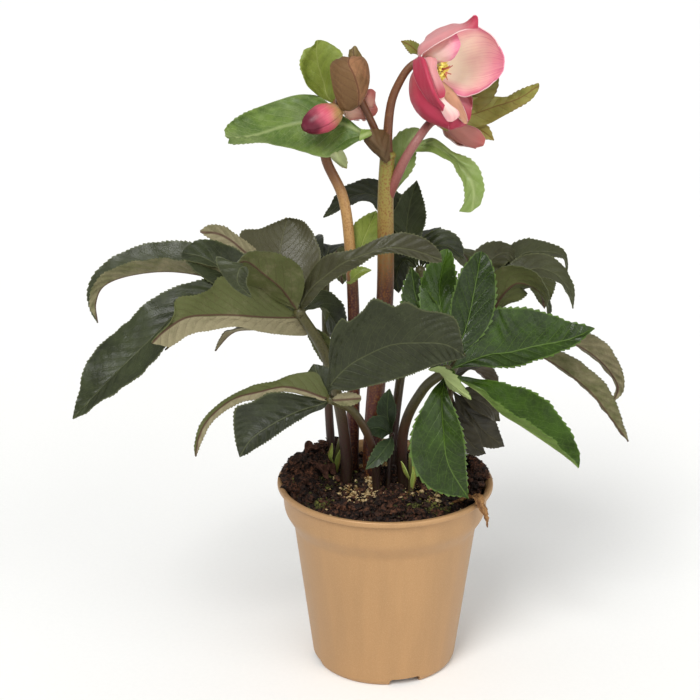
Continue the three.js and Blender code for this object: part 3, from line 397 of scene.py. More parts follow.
def thickened(middle, normal, places, widest, blade, thickness, tint, seed):
    """Gives a middle surface its buckles, its pleats, its midrib and its two faces. The upper
    one takes the first of the blade's skins and the under one the second."""
    x, y, uu, tt = places
    draw = random.Random(seed + 0.5)
    wander = 1.2 * np.sin(y * 0.09 + 6 * draw.random())
    wander = wander + 0.8 * np.sin(np.abs(x) * 0.35 + 6 * draw.random())
    buckled = buckling(x, y, uu, tt, seed) * min(1, widest / 14) * blade.get("buckle", 1.0)
    vein = y + wander - VEIN_RUN * np.abs(x) - VEIN_BEND * x * x
    vein = vein / blade.get("veining", VEIN_SPACING)
    pleat = blade.get("pleat", PLEAT) * min(1, widest / 12)
    bulge = np.sin(np.pi * np.clip(np.abs(uu), 0, 1)) ** 0.7
    swell = -pleat * np.cos(2 * np.pi * (vein + 0.5 * (uu > 0))) * bulge
    rib = np.exp(-((x / RIB_WIDTH) ** 2)) * (1 - 0.7 * tt)
    middle = middle + normal * buckled[..., None]
    if "sides" in blade:  # each half of the blade has its own paleness
        paleness = np.tile(np.where(uu < 0, *blade["sides"]).ravel(), 2)
        tint = np.column_stack([np.full((len(paleness), 2), tint[:2]), paleness])
    upper = middle + normal * (thickness / 2 + swell - RIB_GROOVE * rib)[..., None]
    lower = middle - normal * (thickness / 2 - swell + RIB_RIDGE * rib)[..., None]
    return closed_sheet(upper, lower, places, vein, blade.get("skins", (0, 1)), tint)


def buckling(x, y, u, t, seed):
    """How far a leathery blade stands off its even form: broad dents and a wavy margin."""
    out = np.abs(u)
    places = zip(x.ravel() / DENT_WIDTH, y.ravel() / DENT_LENGTH)
    dents = [noise.noise((a, b, seed * 3.7)) for a, b in places]
    side = np.where(u > 0, 2.1, 0.0)
    turn = y * 2 * np.pi
    waves = np.sin(turn / MARGIN_WAVES[0] + seed + side)
    waves = waves + 0.6 * np.sin(turn / MARGIN_WAVES[1] + 2.3 * seed - side)
    held = np.clip(t / 0.2, 0, 1) * np.clip((1 - t) / 0.1, 0, 1)
    dents = DENT_DEPTH * np.reshape(dents, x.shape) * out**0.6
    return held * (dents + MARGIN_WAVE * waves * out**3)


def closed_sheet(upper, lower, places, vein, skins, tint):
    """Joins an upper and a lower face along their margins."""
    x, y, uu, tt = places
    rows, width = x.shape
    count = rows * width
    faces = grid_faces(rows, width) + grid_faces(rows, width, start=count, flip=True)
    skin = [skins[0]] * (len(faces) // 2) + [skins[1]] * (len(faces) // 2)
    rim = [*range(width), *(r * width + width - 1 for r in range(1, rows))]
    rim += [(rows - 1) * width + c for c in range(width - 2, -1, -1)]
    rim += [r * width for r in range(rows - 2, 0, -1)]
    for p, q in zip(rim, [*rim[1:], rim[0]]):
        faces.append((p, count + p, count + q, q))
        skin.append(skins[0])
    twice = lambda a, b: np.tile(np.stack([a.ravel(), b.ravel()], 1), (2, 1))
    maps = {
        "blade": twice(x, y),
        "share": twice(uu * 0.5 + 0.5, tt),
        "vein": twice(vein, np.abs(uu)),
    }
    points = np.vstack([upper.reshape(-1, 3), lower.reshape(-1, 3)])
    return part(points, faces, skin, tint, **maps)


def from_hub(hub, to, distance):
    """A point at the given distance from the hub towards where a blade goes."""
    hub, to = np.array(hub, float), np.array(to, float)
    return hub + unit(to - hub) * distance


# ---------------------------------------------------------------- plant materials
LEAF_BLUSH = linear("573a26")
WINE_FOOT = linear("66191c")
# near black: painted shade for the feet of the stalks, down among the leaves
PAINTED_CROWN_SHADE = linear("1c120c")
SEPAL_WASH = linear("f6d9d0")
SEPAL_EDGE = linear("f3dfd6")
SEPAL_GLOW = {
    "Sheen Weight": 0.06, "Sheen Roughness": 0.5, "Subsurface Weight": 0.4,
    "Subsurface Scale": 3 * MM, "Subsurface Radius": (1.0, 0.8, 0.7),
}


def tint_of(tree):
    """What each point's tint says: lightness, flush and paleness."""
    tint = add(tree, "Attribute", {"attribute_name": "tint"})
    return add(tree, "SeparateColor", None, {0: tint}).outputs[:3]


def read_map(tree, name):
    """The two values that a UV map holds."""
    return add(tree, "SeparateXYZ", None, {0: add(tree, "UVMap", {"uv_map": name})}).outputs[:2]


def vein_lines(tree, fine_mm=3.4, rib_mm=0.55):
    """Masks of a blade's midrib, of its side veins and of the net between them, and the share
    of the half width."""
    across, along = read_map(tree, "blade")
    count, out = read_map(tree, "vein")
    away = add(tree, "Math", {"operation": "ABSOLUTE"}, {0: across})
    rib = add(tree, "MapRange", EASED, {0: away, 1: rib_mm, 2: 0.12})
    right = add(tree, "Math", {"operation": "GREATER_THAN"}, {0: across, 1: 0.0})
    turn = add(tree, "Math", ADD, {0: count, 1: add(tree, "Math", MULTIPLY, {0: right, 1: 0.5})})
    off = add(tree, "Math", {"operation": "PINGPONG"}, {0: turn, 1: 0.5})
    narrow = add(tree, "MapRange", None, {0: out, 3: 0.055, 4: 0.02})
    side = add(tree, "MapRange", EASED, {0: off, 1: narrow, 2: 0.006})
    short = add(tree, "MapRange", EASED, {0: out, 1: 0.95, 2: 0.55})
    side = add(tree, "Math", MULTIPLY, {0: side, 1: short})
    flat = add(tree, "CombineXYZ", None, {0: across, 1: along})
    cells = {"Vector": flat, "Scale": 1 / fine_mm, "Randomness": 1.0}
    net = add(tree, "TexVoronoi", {"feature": "DISTANCE_TO_EDGE"}, cells)
    return rib, side, add(tree, "MapRange", EASED, {0: net, 1: 0.07, 2: 0.01}), out


def blade_grain(tree, place, rib, side, net, veins=-1.0):
    """The relief of a leathery blade: veins sunk or raised 0.35 mm and a grain of 0.9 mm."""
    grain = add(tree, "TexNoise", None, {"Vector": place, "Scale": 1000 / 0.9, "Detail": 3.0})
    lines = add(tree, "Math", MAXIMUM, {0: rib, 1: side})
    net = add(tree, "Math", MULTIPLY, {0: net, 1: 0.12})
    lines = add(tree, "Math", MAXIMUM, {0: lines, 1: net})
    height = add(tree, "Math", SCALED, {0: lines, 1: veins, 2: grain})
    return add(tree, "Bump", None, {"Height": height, "Strength": 0.55, "Distance": 0.35 * MM})


# Evergreen leaf, grown. Its thick waxy skin gives a semi-gloss that breaks on a fine
# leathery grain, with paler sunk veins and a dusty bloom.
def leaf_upper(
    name, dark, light, vein, dust, vein_show=0.5, gloss=0.4, dusting=0.35, specular=0.3, rib_mm=0.55
):
    material, tree, place = new_material(name)
    lightness, flush, pale = tint_of(tree)
    rib, side, net, out = vein_lines(tree, rib_mm=rib_mm)
    # patches about 14 mm across
    patches = {"Vector": place, "Scale": 70.0, "Detail": 4.0, "Roughness": 0.6}
    patches = add(tree, "TexNoise", None, patches)
    spread = add(tree, "Math", SCALED, {0: lightness, 1: 0.9, 2: -0.45})
    spread = add(tree, "Math", ADD, {0: patches, 1: spread})
    mix = add(tree, "MapRange", EASED, {0: spread, 1: 0.25, 2: 0.75})
    colour = add(tree, "Mix", COLOURS, {0: mix, 6: dark, 7: light}).outputs[2]
    # dust settles in soft clouds about 25 mm across
    cloud = {"Vector": place, "Scale": 38.0, "Detail": 5.0, "Roughness": 0.7}
    cloud = add(tree, "TexNoise", None, cloud)
    cloud = add(tree, "MapRange", EASED, {0: cloud, 1: 0.42, 2: 0.7, 4: dusting})
    cloud = add(tree, "Math", SCALED, {0: pale, 1: 0.6, 2: cloud})
    lines = add(tree, "Math", MULTIPLY, {0: rib, 1: vein_show})
    for mask, show in ((side, vein_show * 0.75), (net, vein_show * 0.22)):
        mask = add(tree, "Math", MULTIPLY, {0: mask, 1: show})
        lines = add(tree, "Math", MAXIMUM, {0: lines, 1: mask})
    # a thin hard line along the margin
    margin = add(tree, "MapRange", EASED, {0: out, 1: 0.955, 2: 1.0, 4: 0.3})
    lines = add(tree, "Math", MAXIMUM, {0: lines, 1: margin})
    blush = add(tree, "Math", MULTIPLY, {0: flush, 1: 0.7})
    for show, over in ((cloud, dust), (lines, vein), (blush, LEAF_BLUSH)):
        colour = add(tree, "Mix", COLOURS, {0: show, 6: colour, 7: over}).outputs[2]
    # worn and waxy patches about 20 mm across
    wax = add(tree, "TexNoise", None, {"Vector": place, "Scale": 50.0, "Detail": 2.0})
    shine = {0: wax, 1: 0.38, 2: 0.62, 3: gloss - 0.1, 4: gloss + 0.16}
    roughness = add(tree, "MapRange", EASED, shine)
    finish_material(tree, colour, roughness, blade_grain(tree, place, rib, side, net), specular)
    return material


# The leaf's under side: matt, mottled and paler, with raised dark veins.
def leaf_under(name, green, pale_green, rib_colour, line_show=0.5, rib_mm=1.2):
    material, tree, place = new_material(name)
    _, _, pale = tint_of(tree)
    rib, side, net, _ = vein_lines(tree, fine_mm=2.6, rib_mm=rib_mm)
    # mottling about 9 mm across
    patches = {"Vector": place, "Scale": 110.0, "Detail": 5.0, "Roughness": 0.65}
    patches = add(tree, "TexNoise", None, patches)
    spread = add(tree, "Math", SCALED, {0: pale, 1: 1.3, 2: -0.55})
    spread = add(tree, "Math", ADD, {0: patches, 1: spread})
    mix = add(tree, "MapRange", EASED, {0: spread, 1: 0.15, 2: 0.75})
    colour = add(tree, "Mix", COLOURS, {0: mix, 6: green, 7: pale_green}).outputs[2]
    lines = rib
    for mask, show in ((side, line_show * 0.7), (net, line_show * 0.3)):
        mask = add(tree, "Math", MULTIPLY, {0: mask, 1: show})
        lines = add(tree, "Math", MAXIMUM, {0: lines, 1: mask})
    lines = add(tree, "Math", MULTIPLY, {0: lines, 1: 0.8})
    colour = add(tree, "Mix", COLOURS, {0: lines, 6: colour, 7: rib_colour}).outputs[2]
    bump = blade_grain(tree, place, rib, side, net, veins=1.0)
    finish_material(tree, colour, 0.6, bump, specular=0.2)
    return material


# Herbaceous stalk, grown: a taut waxy skin, red at the foot and speckled higher up. foot_z
# and top_z are the heights in metres over which its colour changes.
def stalk_skin(
    name, foot, upper, speckle, foot_z=(0.12, 0.2), speckling=0.6, wine_foot=0.3,
    top_z=(9.0, 10.0), top=linear("74452e"),
):
    material, tree, place = new_material(name)
    height = add(tree, "SeparateXYZ", None, {0: place}).outputs[2]
    rise = add(tree, "MapRange", EASED, {0: height, 1: foot_z[0], 2: foot_z[1]})
    # stretched streaks about 2 mm wide and 12 mm long
    stretch = add(tree, "Mapping", None, {"Vector": place, "Scale": (1.0, 1.0, 0.16)})
    streak = add(tree, "TexNoise", None, {"Vector": stretch, "Scale": 480.0, "Detail": 3.0})
    mix = add(tree, "Math", SCALED, {0: streak, 1: 0.5, 2: -0.25})
    mix = add(tree, "Math", CLAMPED_SUM, {0: rise, 1: mix})
    colour = add(tree, "Mix", COLOURS, {0: mix, 6: foot, 7: upper}).outputs[2]
    # red near the soil, another colour near the top, and painted shade over the foot
    bands = (
        (0.185, 0.13, wine_foot, WINE_FOOT),
        (*top_z, 0.92, top),
        (0.172, 0.122, 0.85, PAINTED_CROWN_SHADE),
    )
    for start, end, show, over in bands:
        band = add(tree, "MapRange", EASED, {0: height, 1: start, 2: end, 4: show})
        colour = add(tree, "Mix", COLOURS, {0: band, 6: colour, 7: over}).outputs[2]
    # speckles about 1.2 mm apart, a little coarser than the real ones so that they show
    dots = add(tree, "TexVoronoi", None, {"Vector": place, "Scale": 800.0})
    dots = add(tree, "MapRange", EASED, {0: dots, 1: 0.56, 2: 0.3, 4: speckling})
    patchy = add(tree, "TexNoise", None, {"Vector": place, "Scale": 160.0, "Detail": 3.0})
    patchy = add(tree, "MapRange", EASED, {0: patchy, 1: 0.35, 2: 0.65, 3: 0.4})
    dots = add(tree, "Math", MULTIPLY, {0: dots, 1: patchy})
    colour = add(tree, "Mix", COLOURS, {0: dots, 6: colour, 7: speckle}).outputs[2]
    bump = add(tree, "Bump", None, {"Height": streak, "Strength": 0.35, "Distance": 0.3 * MM})
    roughness = add(tree, "MapRange", None, {0: streak, 1: 0.3, 2: 0.7, 3: 0.38, 4: 0.52})
    finish_material(tree, colour, roughness, bump, specular=0.45)
    return material


# Sepal, grown: a waxy satin skin whose colour runs in fine streaks from root to margin.
def sepal_skin(name, heart, body, margin, streak_show=0.35, brown=linear("8a5a3c"), edge_show=0.6):
    material, tree, place = new_material(name)
    lightness, flush, pale = tint_of(tree)
    across, along = read_map(tree, "share")
    middle = add(tree, "Math", SCALED, {0: across, 1: 2.0, 2: -1.0})
    out = add(tree, "Math", {"operation": "ABSOLUTE"}, {0: middle})
    soft = add(tree, "TexNoise", None, {"Vector": place, "Scale": 90.0, "Detail": 3.0})
    far = add(tree, "MapRange", EASED, {0: along, 1: 0.3, 2: 1.02})
    wide = add(tree, "MapRange", EASED, {0: out, 1: 0.4, 2: 1.0, 4: 0.9})
    rim = add(tree, "Math", MAXIMUM, {0: far, 1: wide})
    rim = add(tree, "Math", ADD, {0: rim, 1: lightness})
    soften = add(tree, "Math", SCALED, {0: soft, 1: 0.5, 2: -0.75})
    rim = add(tree, "Math", CLAMPED_SUM, {0: rim, 1: soften})
    colour = add(tree, "Mix", COLOURS, {0: rim, 6: heart, 7: body}).outputs[2]
    # streaks about 0.8 mm wide that fan from the root
    fan = add(tree, "CombineXYZ", None, {0: middle, 1: along})
    fan = add(tree, "Mapping", None, {"Vector": fan, "Scale": (26.0, 1.6, 1.0)})
    streak = {"Vector": fan, "Scale": 1.0, "Detail": 4.0, "Roughness": 0.6}
    streak = add(tree, "TexNoise", None, streak)
    streaks = add(tree, "MapRange", EASED, {0: streak, 1: 0.45, 2: 0.7, 4: streak_show})
    streaks = add(tree, "Math", MULTIPLY, {0: streaks, 1: rim})
    deep = add(tree, "MapRange", EASED, {0: out, 1: 0.8, 2: 1.0, 4: 0.65})
    root = add(tree, "MapRange", EASED, {0: along, 1: 0.55, 2: 0.05})
    root = add(tree, "Math", MULTIPLY, {0: root, 1: flush})
    near = add(tree, "MapRange", EASED, {0: along, 1: 0.98, 2: 0.72})
    wash = add(tree, "Math", MULTIPLY, {0: pale, 1: near})
    edge = add(tree, "MapRange", EASED, {0: out, 1: 0.972, 2: 1.0, 4: edge_show})
    layers = (streaks, margin), (deep, margin), (root, brown), (wash, SEPAL_WASH)
    for show, over in (*layers, (edge, SEPAL_EDGE)):
        colour = add(tree, "Mix", COLOURS, {0: show, 6: colour, 7: over}).outputs[2]
    bump = add(tree, "Bump", None, {"Height": streak, "Strength": 0.3, "Distance": 0.25 * MM})
    roughness = add(tree, "MapRange", None, {0: streak, 1: 0.3, 2: 0.7, 3: 0.42, 4: 0.56})
    finish_material(tree, colour, roughness, bump, specular=0.4, **SEPAL_GLOW)
    return material


# Small flower parts, grown: soft, powdery or waxy, with a colour that varies grain by grain.
def flower_part(name, first, second, grain_mm=0.8, roughness=0.7):
    material, tree, place = new_material(name)
    lightness = tint_of(tree)[0]
    grain = {"Vector": place, "Scale": 1000 / grain_mm, "Detail": 2.0}
    grain = add(tree, "TexNoise", None, grain)
    mix = add(tree, "Math", SCALED, {0: grain, 1: 1.2, 2: -0.6})
    mix = add(tree, "Math", CLAMPED_SUM, {0: mix, 1: lightness})
    colour = add(tree, "Mix", COLOURS, {0: mix, 6: first, 7: second}).outputs[2]
    bump = add(tree, "Bump", None, {"Height": grain, "Strength": 0.5, "Distance": 0.2 * MM})
    shine = {0: grain, 1: 0.3, 2: 0.7, 3: roughness - 0.1, 4: roughness + 0.1}
    finish_material(tree, colour, add(tree, "MapRange", None, shine), bump, specular=0.35)
    return material


# Withered leaf: brown, papery and matt, with darker veins and a rough torn look.
def withered_leaf(name, dark, light):
    material, tree, place = new_material(name)
    rib, _, net, _ = vein_lines(tree, fine_mm=1.8)
    # blotches about 4 mm across
    patches = {"Vector": place, "Scale": 260.0, "Detail": 6.0, "Roughness": 0.7}
    patches = add(tree, "TexNoise", None, patches)
    mix = add(tree, "MapRange", EASED, {0: patches, 1: 0.35, 2: 0.65})
    colour = add(tree, "Mix", COLOURS, {0: mix, 6: dark, 7: light}).outputs[2]
    lines = add(tree, "Math", MAXIMUM, {0: rib, 1: net})
    lines = add(tree, "Math", MULTIPLY, {0: lines, 1: 0.5})
    colour = add(tree, "Mix", COLOURS, {0: lines, 6: colour, 7: linear("4a3020")}).outputs[2]
    bump = add(tree, "Bump", None, {"Height": patches, "Strength": 0.9, "Distance": 0.8 * MM})
    finish_material(tree, colour, 0.85, bump, specular=0.2)
    return material


# ---------------------------------------------------------------- pot and soil materials
# Polypropylene, injection moulded and pigmented gold-tan: satin, with a faint pearl sheen
# and soft upright flow streaks.
def pot_plastic(name, plastic):
    material, tree, place = new_material(name)
    # flow streaks about 9 mm wide that run up the wall
    upright = add(tree, "Mapping", None, {"Vector": place, "Scale": (1.0, 1.0, 0.07)})
    flow = add(tree, "TexNoise", None, {"Vector": upright, "Scale": 110.0, "Detail": 4.0})
    mix = add(tree, "MapRange", EASED, {0: flow, 1: 0.3, 2: 0.7})
    darker = tuple(c * 0.95 for c in plastic)
    lighter = tuple(min(1, c * 1.04) for c in plastic)
    colour = add(tree, "Mix", COLOURS, {0: mix, 6: darker, 7: lighter}).outputs[2]
    # moulding grain about 0.5 mm across, drawn a little coarse so that it shows
    grain = add(tree, "TexNoise", None, {"Vector": place, "Scale": 2000.0, "Detail": 2.0})
    fleck = add(tree, "MapRange", EASED, {0: grain, 1: 0.4, 2: 0.75, 4: 0.12})
    colour = add(tree, "Mix", COLOURS, {0: fleck, 6: colour, 7: linear("e6c79a")}).outputs[2]
    height = add(tree, "Math", SCALED, {0: flow, 1: 3.0, 2: grain})
    bump = add(tree, "Bump", None, {"Height": height, "Strength": 0.12, "Distance": 0.4 * MM})
    roughness = add(tree, "MapRange", None, {0: flow, 1: 0.3, 2: 0.7, 3: 0.4, 4: 0.48})
    finish_material(tree, colour, roughness, bump, specular=0.45, Metallic=0.2)
    return material


# Peat-based potting mix: near black and matt where wet, red-brown and fibrous where dry.
def peat(name, wet, dry):
    material, tree, place = new_material(name)
    lightness = tint_of(tree)[0]
    # crumbs about 3 mm across, broken up by cells of 1.6 mm
    crumbs = {"Vector": place, "Scale": 330.0, "Detail": 8.0, "Roughness": 0.75}
    crumbs = add(tree, "TexNoise", None, crumbs)
    cells = add(tree, "TexVoronoi", None, {"Vector": place, "Scale": 620.0})
    mix = add(tree, "MapRange", EASED, {0: crumbs, 1: 0.38, 2: 0.68, 3: -0.25, 4: 0.75})
    mix = add(tree, "Math", CLAMPED_SUM, {0: mix, 1: lightness})
    mix = add(tree, "MapRange", None, {0: mix, 1: 0.4})
    # hollows stay wet and nearly black, in patches about 12 mm across
    damp = add(tree, "TexNoise", None, {"Vector": place, "Scale": 85.0, "Detail": 3.0})
    damp = add(tree, "MapRange", EASED, {0: damp, 1: 0.4, 2: 0.6, 3: 0.35})
    mix = add(tree, "Math", MULTIPLY, {0: mix, 1: damp})
    colour = add(tree, "Mix", COLOURS, {0: mix, 6: wet, 7: dry}).outputs[2]
    height = add(tree, "Math", {"operation": "SUBTRACT"}, {0: crumbs, 1: cells})
    bump = add(tree, "Bump", None, {"Height": height, "Strength": 0.9, "Distance": 1.2 * MM})
    shine = add(tree, "MapRange", None, {0: damp, 1: 0.35, 3: 0.5, 4: 0.9})
    finish_material(tree, colour, shine, bump, specular=0.3)
    return material


# Moss and grit: small matt grains that differ one by one.
def grains(name, first, second, grain_mm=1.0):
    material, tree, place = new_material(name)
    lightness = tint_of(tree)[0]
    grain = {"Vector": place, "Scale": 1000 / grain_mm, "Detail": 5.0}
    grain = add(tree, "TexNoise", None, grain)
    mix = add(tree, "MapRange", EASED, {0: grain, 1: 0.35, 2: 0.65, 3: -0.3, 4: 0.3})
    mix = add(tree, "Math", CLAMPED_SUM, {0: mix, 1: lightness})
    colour = add(tree, "Mix", COLOURS, {0: mix, 6: first, 7: second}).outputs[2]
    bump = add(tree, "Bump", None, {"Height": grain, "Strength": 0.8, "Distance": 0.5 * MM})
    finish_material(tree, colour, 0.85, bump, specular=0.25)
    return material


# ---------------------------------------------------------------- pot
POT_HEIGHT = 117
RIM_RADIUS = 65
BASE_RADIUS = 43.7
BASE_ROUND = 3.2
POT_WALL = 1.6
BAND_FOOT = 89.7  # height where the rim band's shoulder meets the wall
BAND_FOOT_RADIUS = 55.2
BAND_SHOULDER = 99
BAND_RADIUS = 61.2
LIP_DEPTH = 3.4
LIP_WIDTH = 2.6  # of the lip's flat top
BAND_FLARE = 0.9  # how far the band widens up to the lip
POT_SIDES = 192
POT_CREASE_DEG = 40

DRAIN_COUNT = 4
DRAIN_FIRST_DEG = -74
DRAIN_WIDTH = 19
DRAIN_DEPTH = 11
DRAIN_HEIGHT = 4.4
DRAIN_ROUNDING = 0.9
DRAIN_HOLE_RADIUS = 2.6
DRAIN_HOLE_LENGTH = 9
CUT_REACH = 12  # how far a cutting block stands out of the wall
CUT_DEPTH = 3  # and below the base
CORE_SIDES = 96
CORE_FOOT = 0.01  # keeps the roof of a recess just off the base


def eased_corner(before, corner, after, radius, steps=5):
    """Points that round a profile's corner."""
    before, corner, after = np.array(before), np.array(corner), np.array(after)
    first = corner + unit(before - corner) * min(radius, np.linalg.norm(before - corner) / 2)
    last = corner + unit(after - corner) * min(radius, np.linalg.norm(after - corner) / 2)
    shares = np.linspace(0, 1, steps)[:, None]
    return list((1 - shares) ** 2 * first + 2 * shares * (1 - shares) * corner + shares**2 * last)


def pot_profile():
    """The wall from the middle of the base up the outside, over the lip and down inside."""
    lip = POT_HEIGHT - LIP_DEPTH
    corners = [  # radius, height, rounding
        (0, 0, 0),
        (BASE_RADIUS - BASE_ROUND * 0.4, 0, 1.6),
        (BASE_RADIUS + 0.3, BASE_ROUND, 1.6),
        (BAND_FOOT_RADIUS, BAND_FOOT, 2.5),
        (BAND_RADIUS - 0.4, BAND_SHOULDER, 3.0),
        (BAND_RADIUS + BAND_FLARE, lip, 0.8),
        (RIM_RADIUS, lip, 1.0),
        (RIM_RADIUS, POT_HEIGHT, 1.4),
        (RIM_RADIUS - LIP_WIDTH, POT_HEIGHT, 1.0),
        (BAND_RADIUS - 1.0, lip, 1.2),
        (BAND_RADIUS - POT_WALL - 0.4, BAND_SHOULDER + 0.6, 3.0),
        (BAND_FOOT_RADIUS - POT_WALL, BAND_FOOT + 0.6, 2.5),
        (BASE_RADIUS - POT_WALL, BASE_ROUND + 0.6, 1.5),
        (BASE_RADIUS - POT_WALL - BASE_ROUND, POT_WALL, 1.5),
        (0, POT_WALL, 0),
    ]
    points = [np.array(corners[0][:2], float)]
    for before, (radius, height, rounding), after in zip(corners, corners[1:], corners[2:]):
        points.extend(eased_corner(before[:2], (radius, height), after[:2], rounding))
    return [*points, np.array(corners[-1][:2], float)]


def mesh_of(body, name):
    """The mesh of a finished body, which is freed."""
    mesh = bpy.data.meshes.new(name)
    body.to_mesh(mesh)
    body.free()
    return mesh


def lathe_mesh(profile, sides):
    """A closed mesh turned round the upright axis from a profile of radius and height."""
    body = bmesh.new()
    rings = []
    turns = [2 * math.pi * k / sides for k in range(sides)]
    for radius, height in profile:
        on_axis = radius < 1e-6
        ring = [(0, 0)] if on_axis else [(math.cos(a), math.sin(a)) for a in turns]
        ring = [(radius * MM * x, radius * MM * y, height * MM) for x, y in ring]
        rings.append([body.verts.new(place) for place in ring])
    for low, high in zip(rings, rings[1:]):
        for k in range(sides):
            n = (k + 1) % sides
            if len(low) == 1:
                body.faces.new((low[0], high[n], high[k]))
            elif len(high) == 1:
                body.faces.new((low[k], low[n], high[0]))
            else:
                body.faces.new((low[k], low[n], high[n], high[k]))
    bmesh.ops.recalc_face_normals(body, faces=body.faces)
    return mesh_of(body, "turned")


def block_object(margin, bottom, turn):
    """A rounded block for a drain recess, larger than it by the margin."""
    depth, top = DRAIN_DEPTH + margin, DRAIN_HEIGHT + margin
    length = depth + CUT_REACH
    size = Vector((length, DRAIN_WIDTH + margin * 2, top - bottom)) * MM
    centre = Vector((BASE_RADIUS - depth + length / 2, 0, (top + bottom) / 2)) * MM
    body = bmesh.new()
    bmesh.ops.create_cube(body, size=1)
    for vert in body.verts:
        vert.co = Vector([vert.co[k] * size[k] for k in range(3)]) + centre
    rounding = {"offset": DRAIN_ROUNDING * MM, "segments": 3, "affect": "EDGES"}
    bmesh.ops.bevel(body, geom=body.edges[:], **rounding)
    mesh = mesh_of(body, "recess")
    mesh.transform(Matrix.Rotation(turn, 4, "Z"))
    return bpy.data.objects.new("recess", mesh)


def hole_object(turn):
    """A rod for a drain hole through the roof of a recess."""
    body = bmesh.new()
    radius = DRAIN_HOLE_RADIUS * MM
    ends = {"radius1": radius, "radius2": radius, "depth": DRAIN_HOLE_LENGTH * MM}
    bmesh.ops.create_cone(body, cap_ends=True, segments=32, **ends)
    mesh = mesh_of(body, "hole")
    centre = Vector((BASE_RADIUS - DRAIN_DEPTH * 0.6, 0, DRAIN_HEIGHT)) * MM
    mesh.transform(Matrix.Translation(centre))
    mesh.transform(Matrix.Rotation(turn, 4, "Z"))
    return bpy.data.objects.new("hole", mesh)


def carved(piece, tools):
    """Joins, meets or cuts a piece with tools, each (kind, object), and drops the tools."""
    for kind, tool in tools:
        bpy.context.scene.collection.objects.link(tool)
        modifier = piece.modifiers.new(kind, "BOOLEAN")
        modifier.operation, modifier.object, modifier.solver = kind, tool, "EXACT"
    graph = bpy.context.evaluated_depsgraph_get()
    made = bpy.data.meshes.new_from_object(piece.evaluated_get(graph))
    piece.modifiers.clear()
    piece.data = made
    for _, tool in tools:
        bpy.data.objects.remove(tool)


def build_pot(plastic):
    """The thin wall with four recesses under the base, each with a roof and a drain hole."""
    scene = bpy.context.scene.collection
    first = math.radians(DRAIN_FIRST_DEG)
    turns = [first + 2 * math.pi * k / DRAIN_COUNT for k in range(DRAIN_COUNT)]
    core = [  # the room inside the wall, which a roof mustn't stand out of
        (0, CORE_FOOT),
        (BASE_RADIUS - 2.6, CORE_FOOT),
        (BASE_RADIUS - 0.3, BASE_ROUND),
        (BAND_FOOT_RADIUS - 0.4, BAND_FOOT),
        (0, BAND_FOOT),
    ]
    pot = bpy.data.objects.new("pot_moulding", lathe_mesh(pot_profile(), POT_SIDES))
    scene.objects.link(pot)
    for turn in turns:
        roof = block_object(POT_WALL, CORE_FOOT, turn)
        scene.objects.link(roof)
        bpy.context.view_layer.update()
        carved(roof, [("INTERSECT", bpy.data.objects.new("core", lathe_mesh(core, CORE_SIDES)))])
        scene.objects.unlink(roof)
        carved(pot, [("UNION", roof)])
    carved(pot, [("DIFFERENCE", block_object(0, -CUT_DEPTH, turn)) for turn in turns])
    carved(pot, [("DIFFERENCE", hole_object(turn)) for turn in turns])
    pot.data.materials.clear()
    pot.data.materials.append(pot_plastic("moulded_polypropylene", plastic))
    pot.data.polygons.foreach_set("material_index", [0] * len(pot.data.polygons))
    pot.data.shade_smooth()
    pot.data.set_sharp_from_angle(angle=math.radians(POT_CREASE_DEG))
    settle(pot, "pot_plastic", ["pot"])


# ---------------------------------------------------------------- soil
SOIL_LEVEL = 110
SOIL_GAP = 1.15  # between the soil's edge and the wall
SOIL_BRIM = BAND_RADIUS - POT_WALL - SOIL_GAP
SOIL_SIDES = 260
SOIL_STEP = 0.8  # between the rings of its top
SOIL_FOOT = 2.0
SOIL_WALL = [  # radius and height up the inside of the pot
    (36.0, SOIL_FOOT),
    (40.6, 4.6),
    (52.4, BAND_FOOT),
    (SOIL_BRIM, BAND_SHOULDER + 1.6),
    (SOIL_BRIM, 105.0),
]
ROOT_LEVEL = 92
MOUNDS = [  # middle, height and spread
    (-38, 32, 14, 15),
    (-49, 9, 14, 15),
    (-57, -8, 7, 13),
    (57, 2, 7, 14),
    (44, 34, 13, 15),
    (-2, 4, 9, 23),
]
CLOD_SPOTS = [(-40, 30, 9), (42, 30, 9), (-48, 5, 7)]
GRIT_SPOTS = [
    (-18, -15, 5), (-12, -17, 4), (-24, -9, 4), (-9, -8, 3), (-18, 20, 3), (2, 14, 2),
    (20, -14, 5), (31, -25, 4),
]
MOSS_SPOTS = [(-32, 3, 5), (-25, 8, 4), (-28, -4, 4), (-39, -25, 4), (22, -20, 7), (30, -30, 4)]
SPILLS = [(2.3, 3.4), (0.0, 0.62)]  # arcs of the rim that the soil is heaped over, in radians
LEFT_ARC = (1.5, 4.7)  # turns that belong to the first spill
HEAP_HEIGHT = 6.5


def ground(x, y):
    """Height of the soil without its crumbs."""
    height = SOIL_LEVEL + 1.5 * math.sin(x * 0.41 + 1.3) * math.cos(y * 0.37)
    height += 0.9 * math.sin(x * 0.83 - y * 0.71)
    for middle_x, middle_y, rise, spread in MOUNDS:
        away = math.hypot(x - middle_x, y - middle_y) / spread
        height += rise * math.exp(-away * away)
    return height


def crumbled(x, y):
    """Height of the soil with crumbs of 7, 3 and 1.3 mm."""
    near_wall = max(0.0, (math.hypot(x, y) - SOIL_BRIM + 5) / 5)
    height = ground(x, y) - 1.2 * near_wall
    height += 2.6 * (noise.noise((x / 7, y / 7, 0.3)) - 0.1)
    height += 2.0 * noise.noise((x / 3, y / 3, 7.1)) + 1.1 * noise.noise((x / 1.3, y / 1.3, 2.9))
    return height


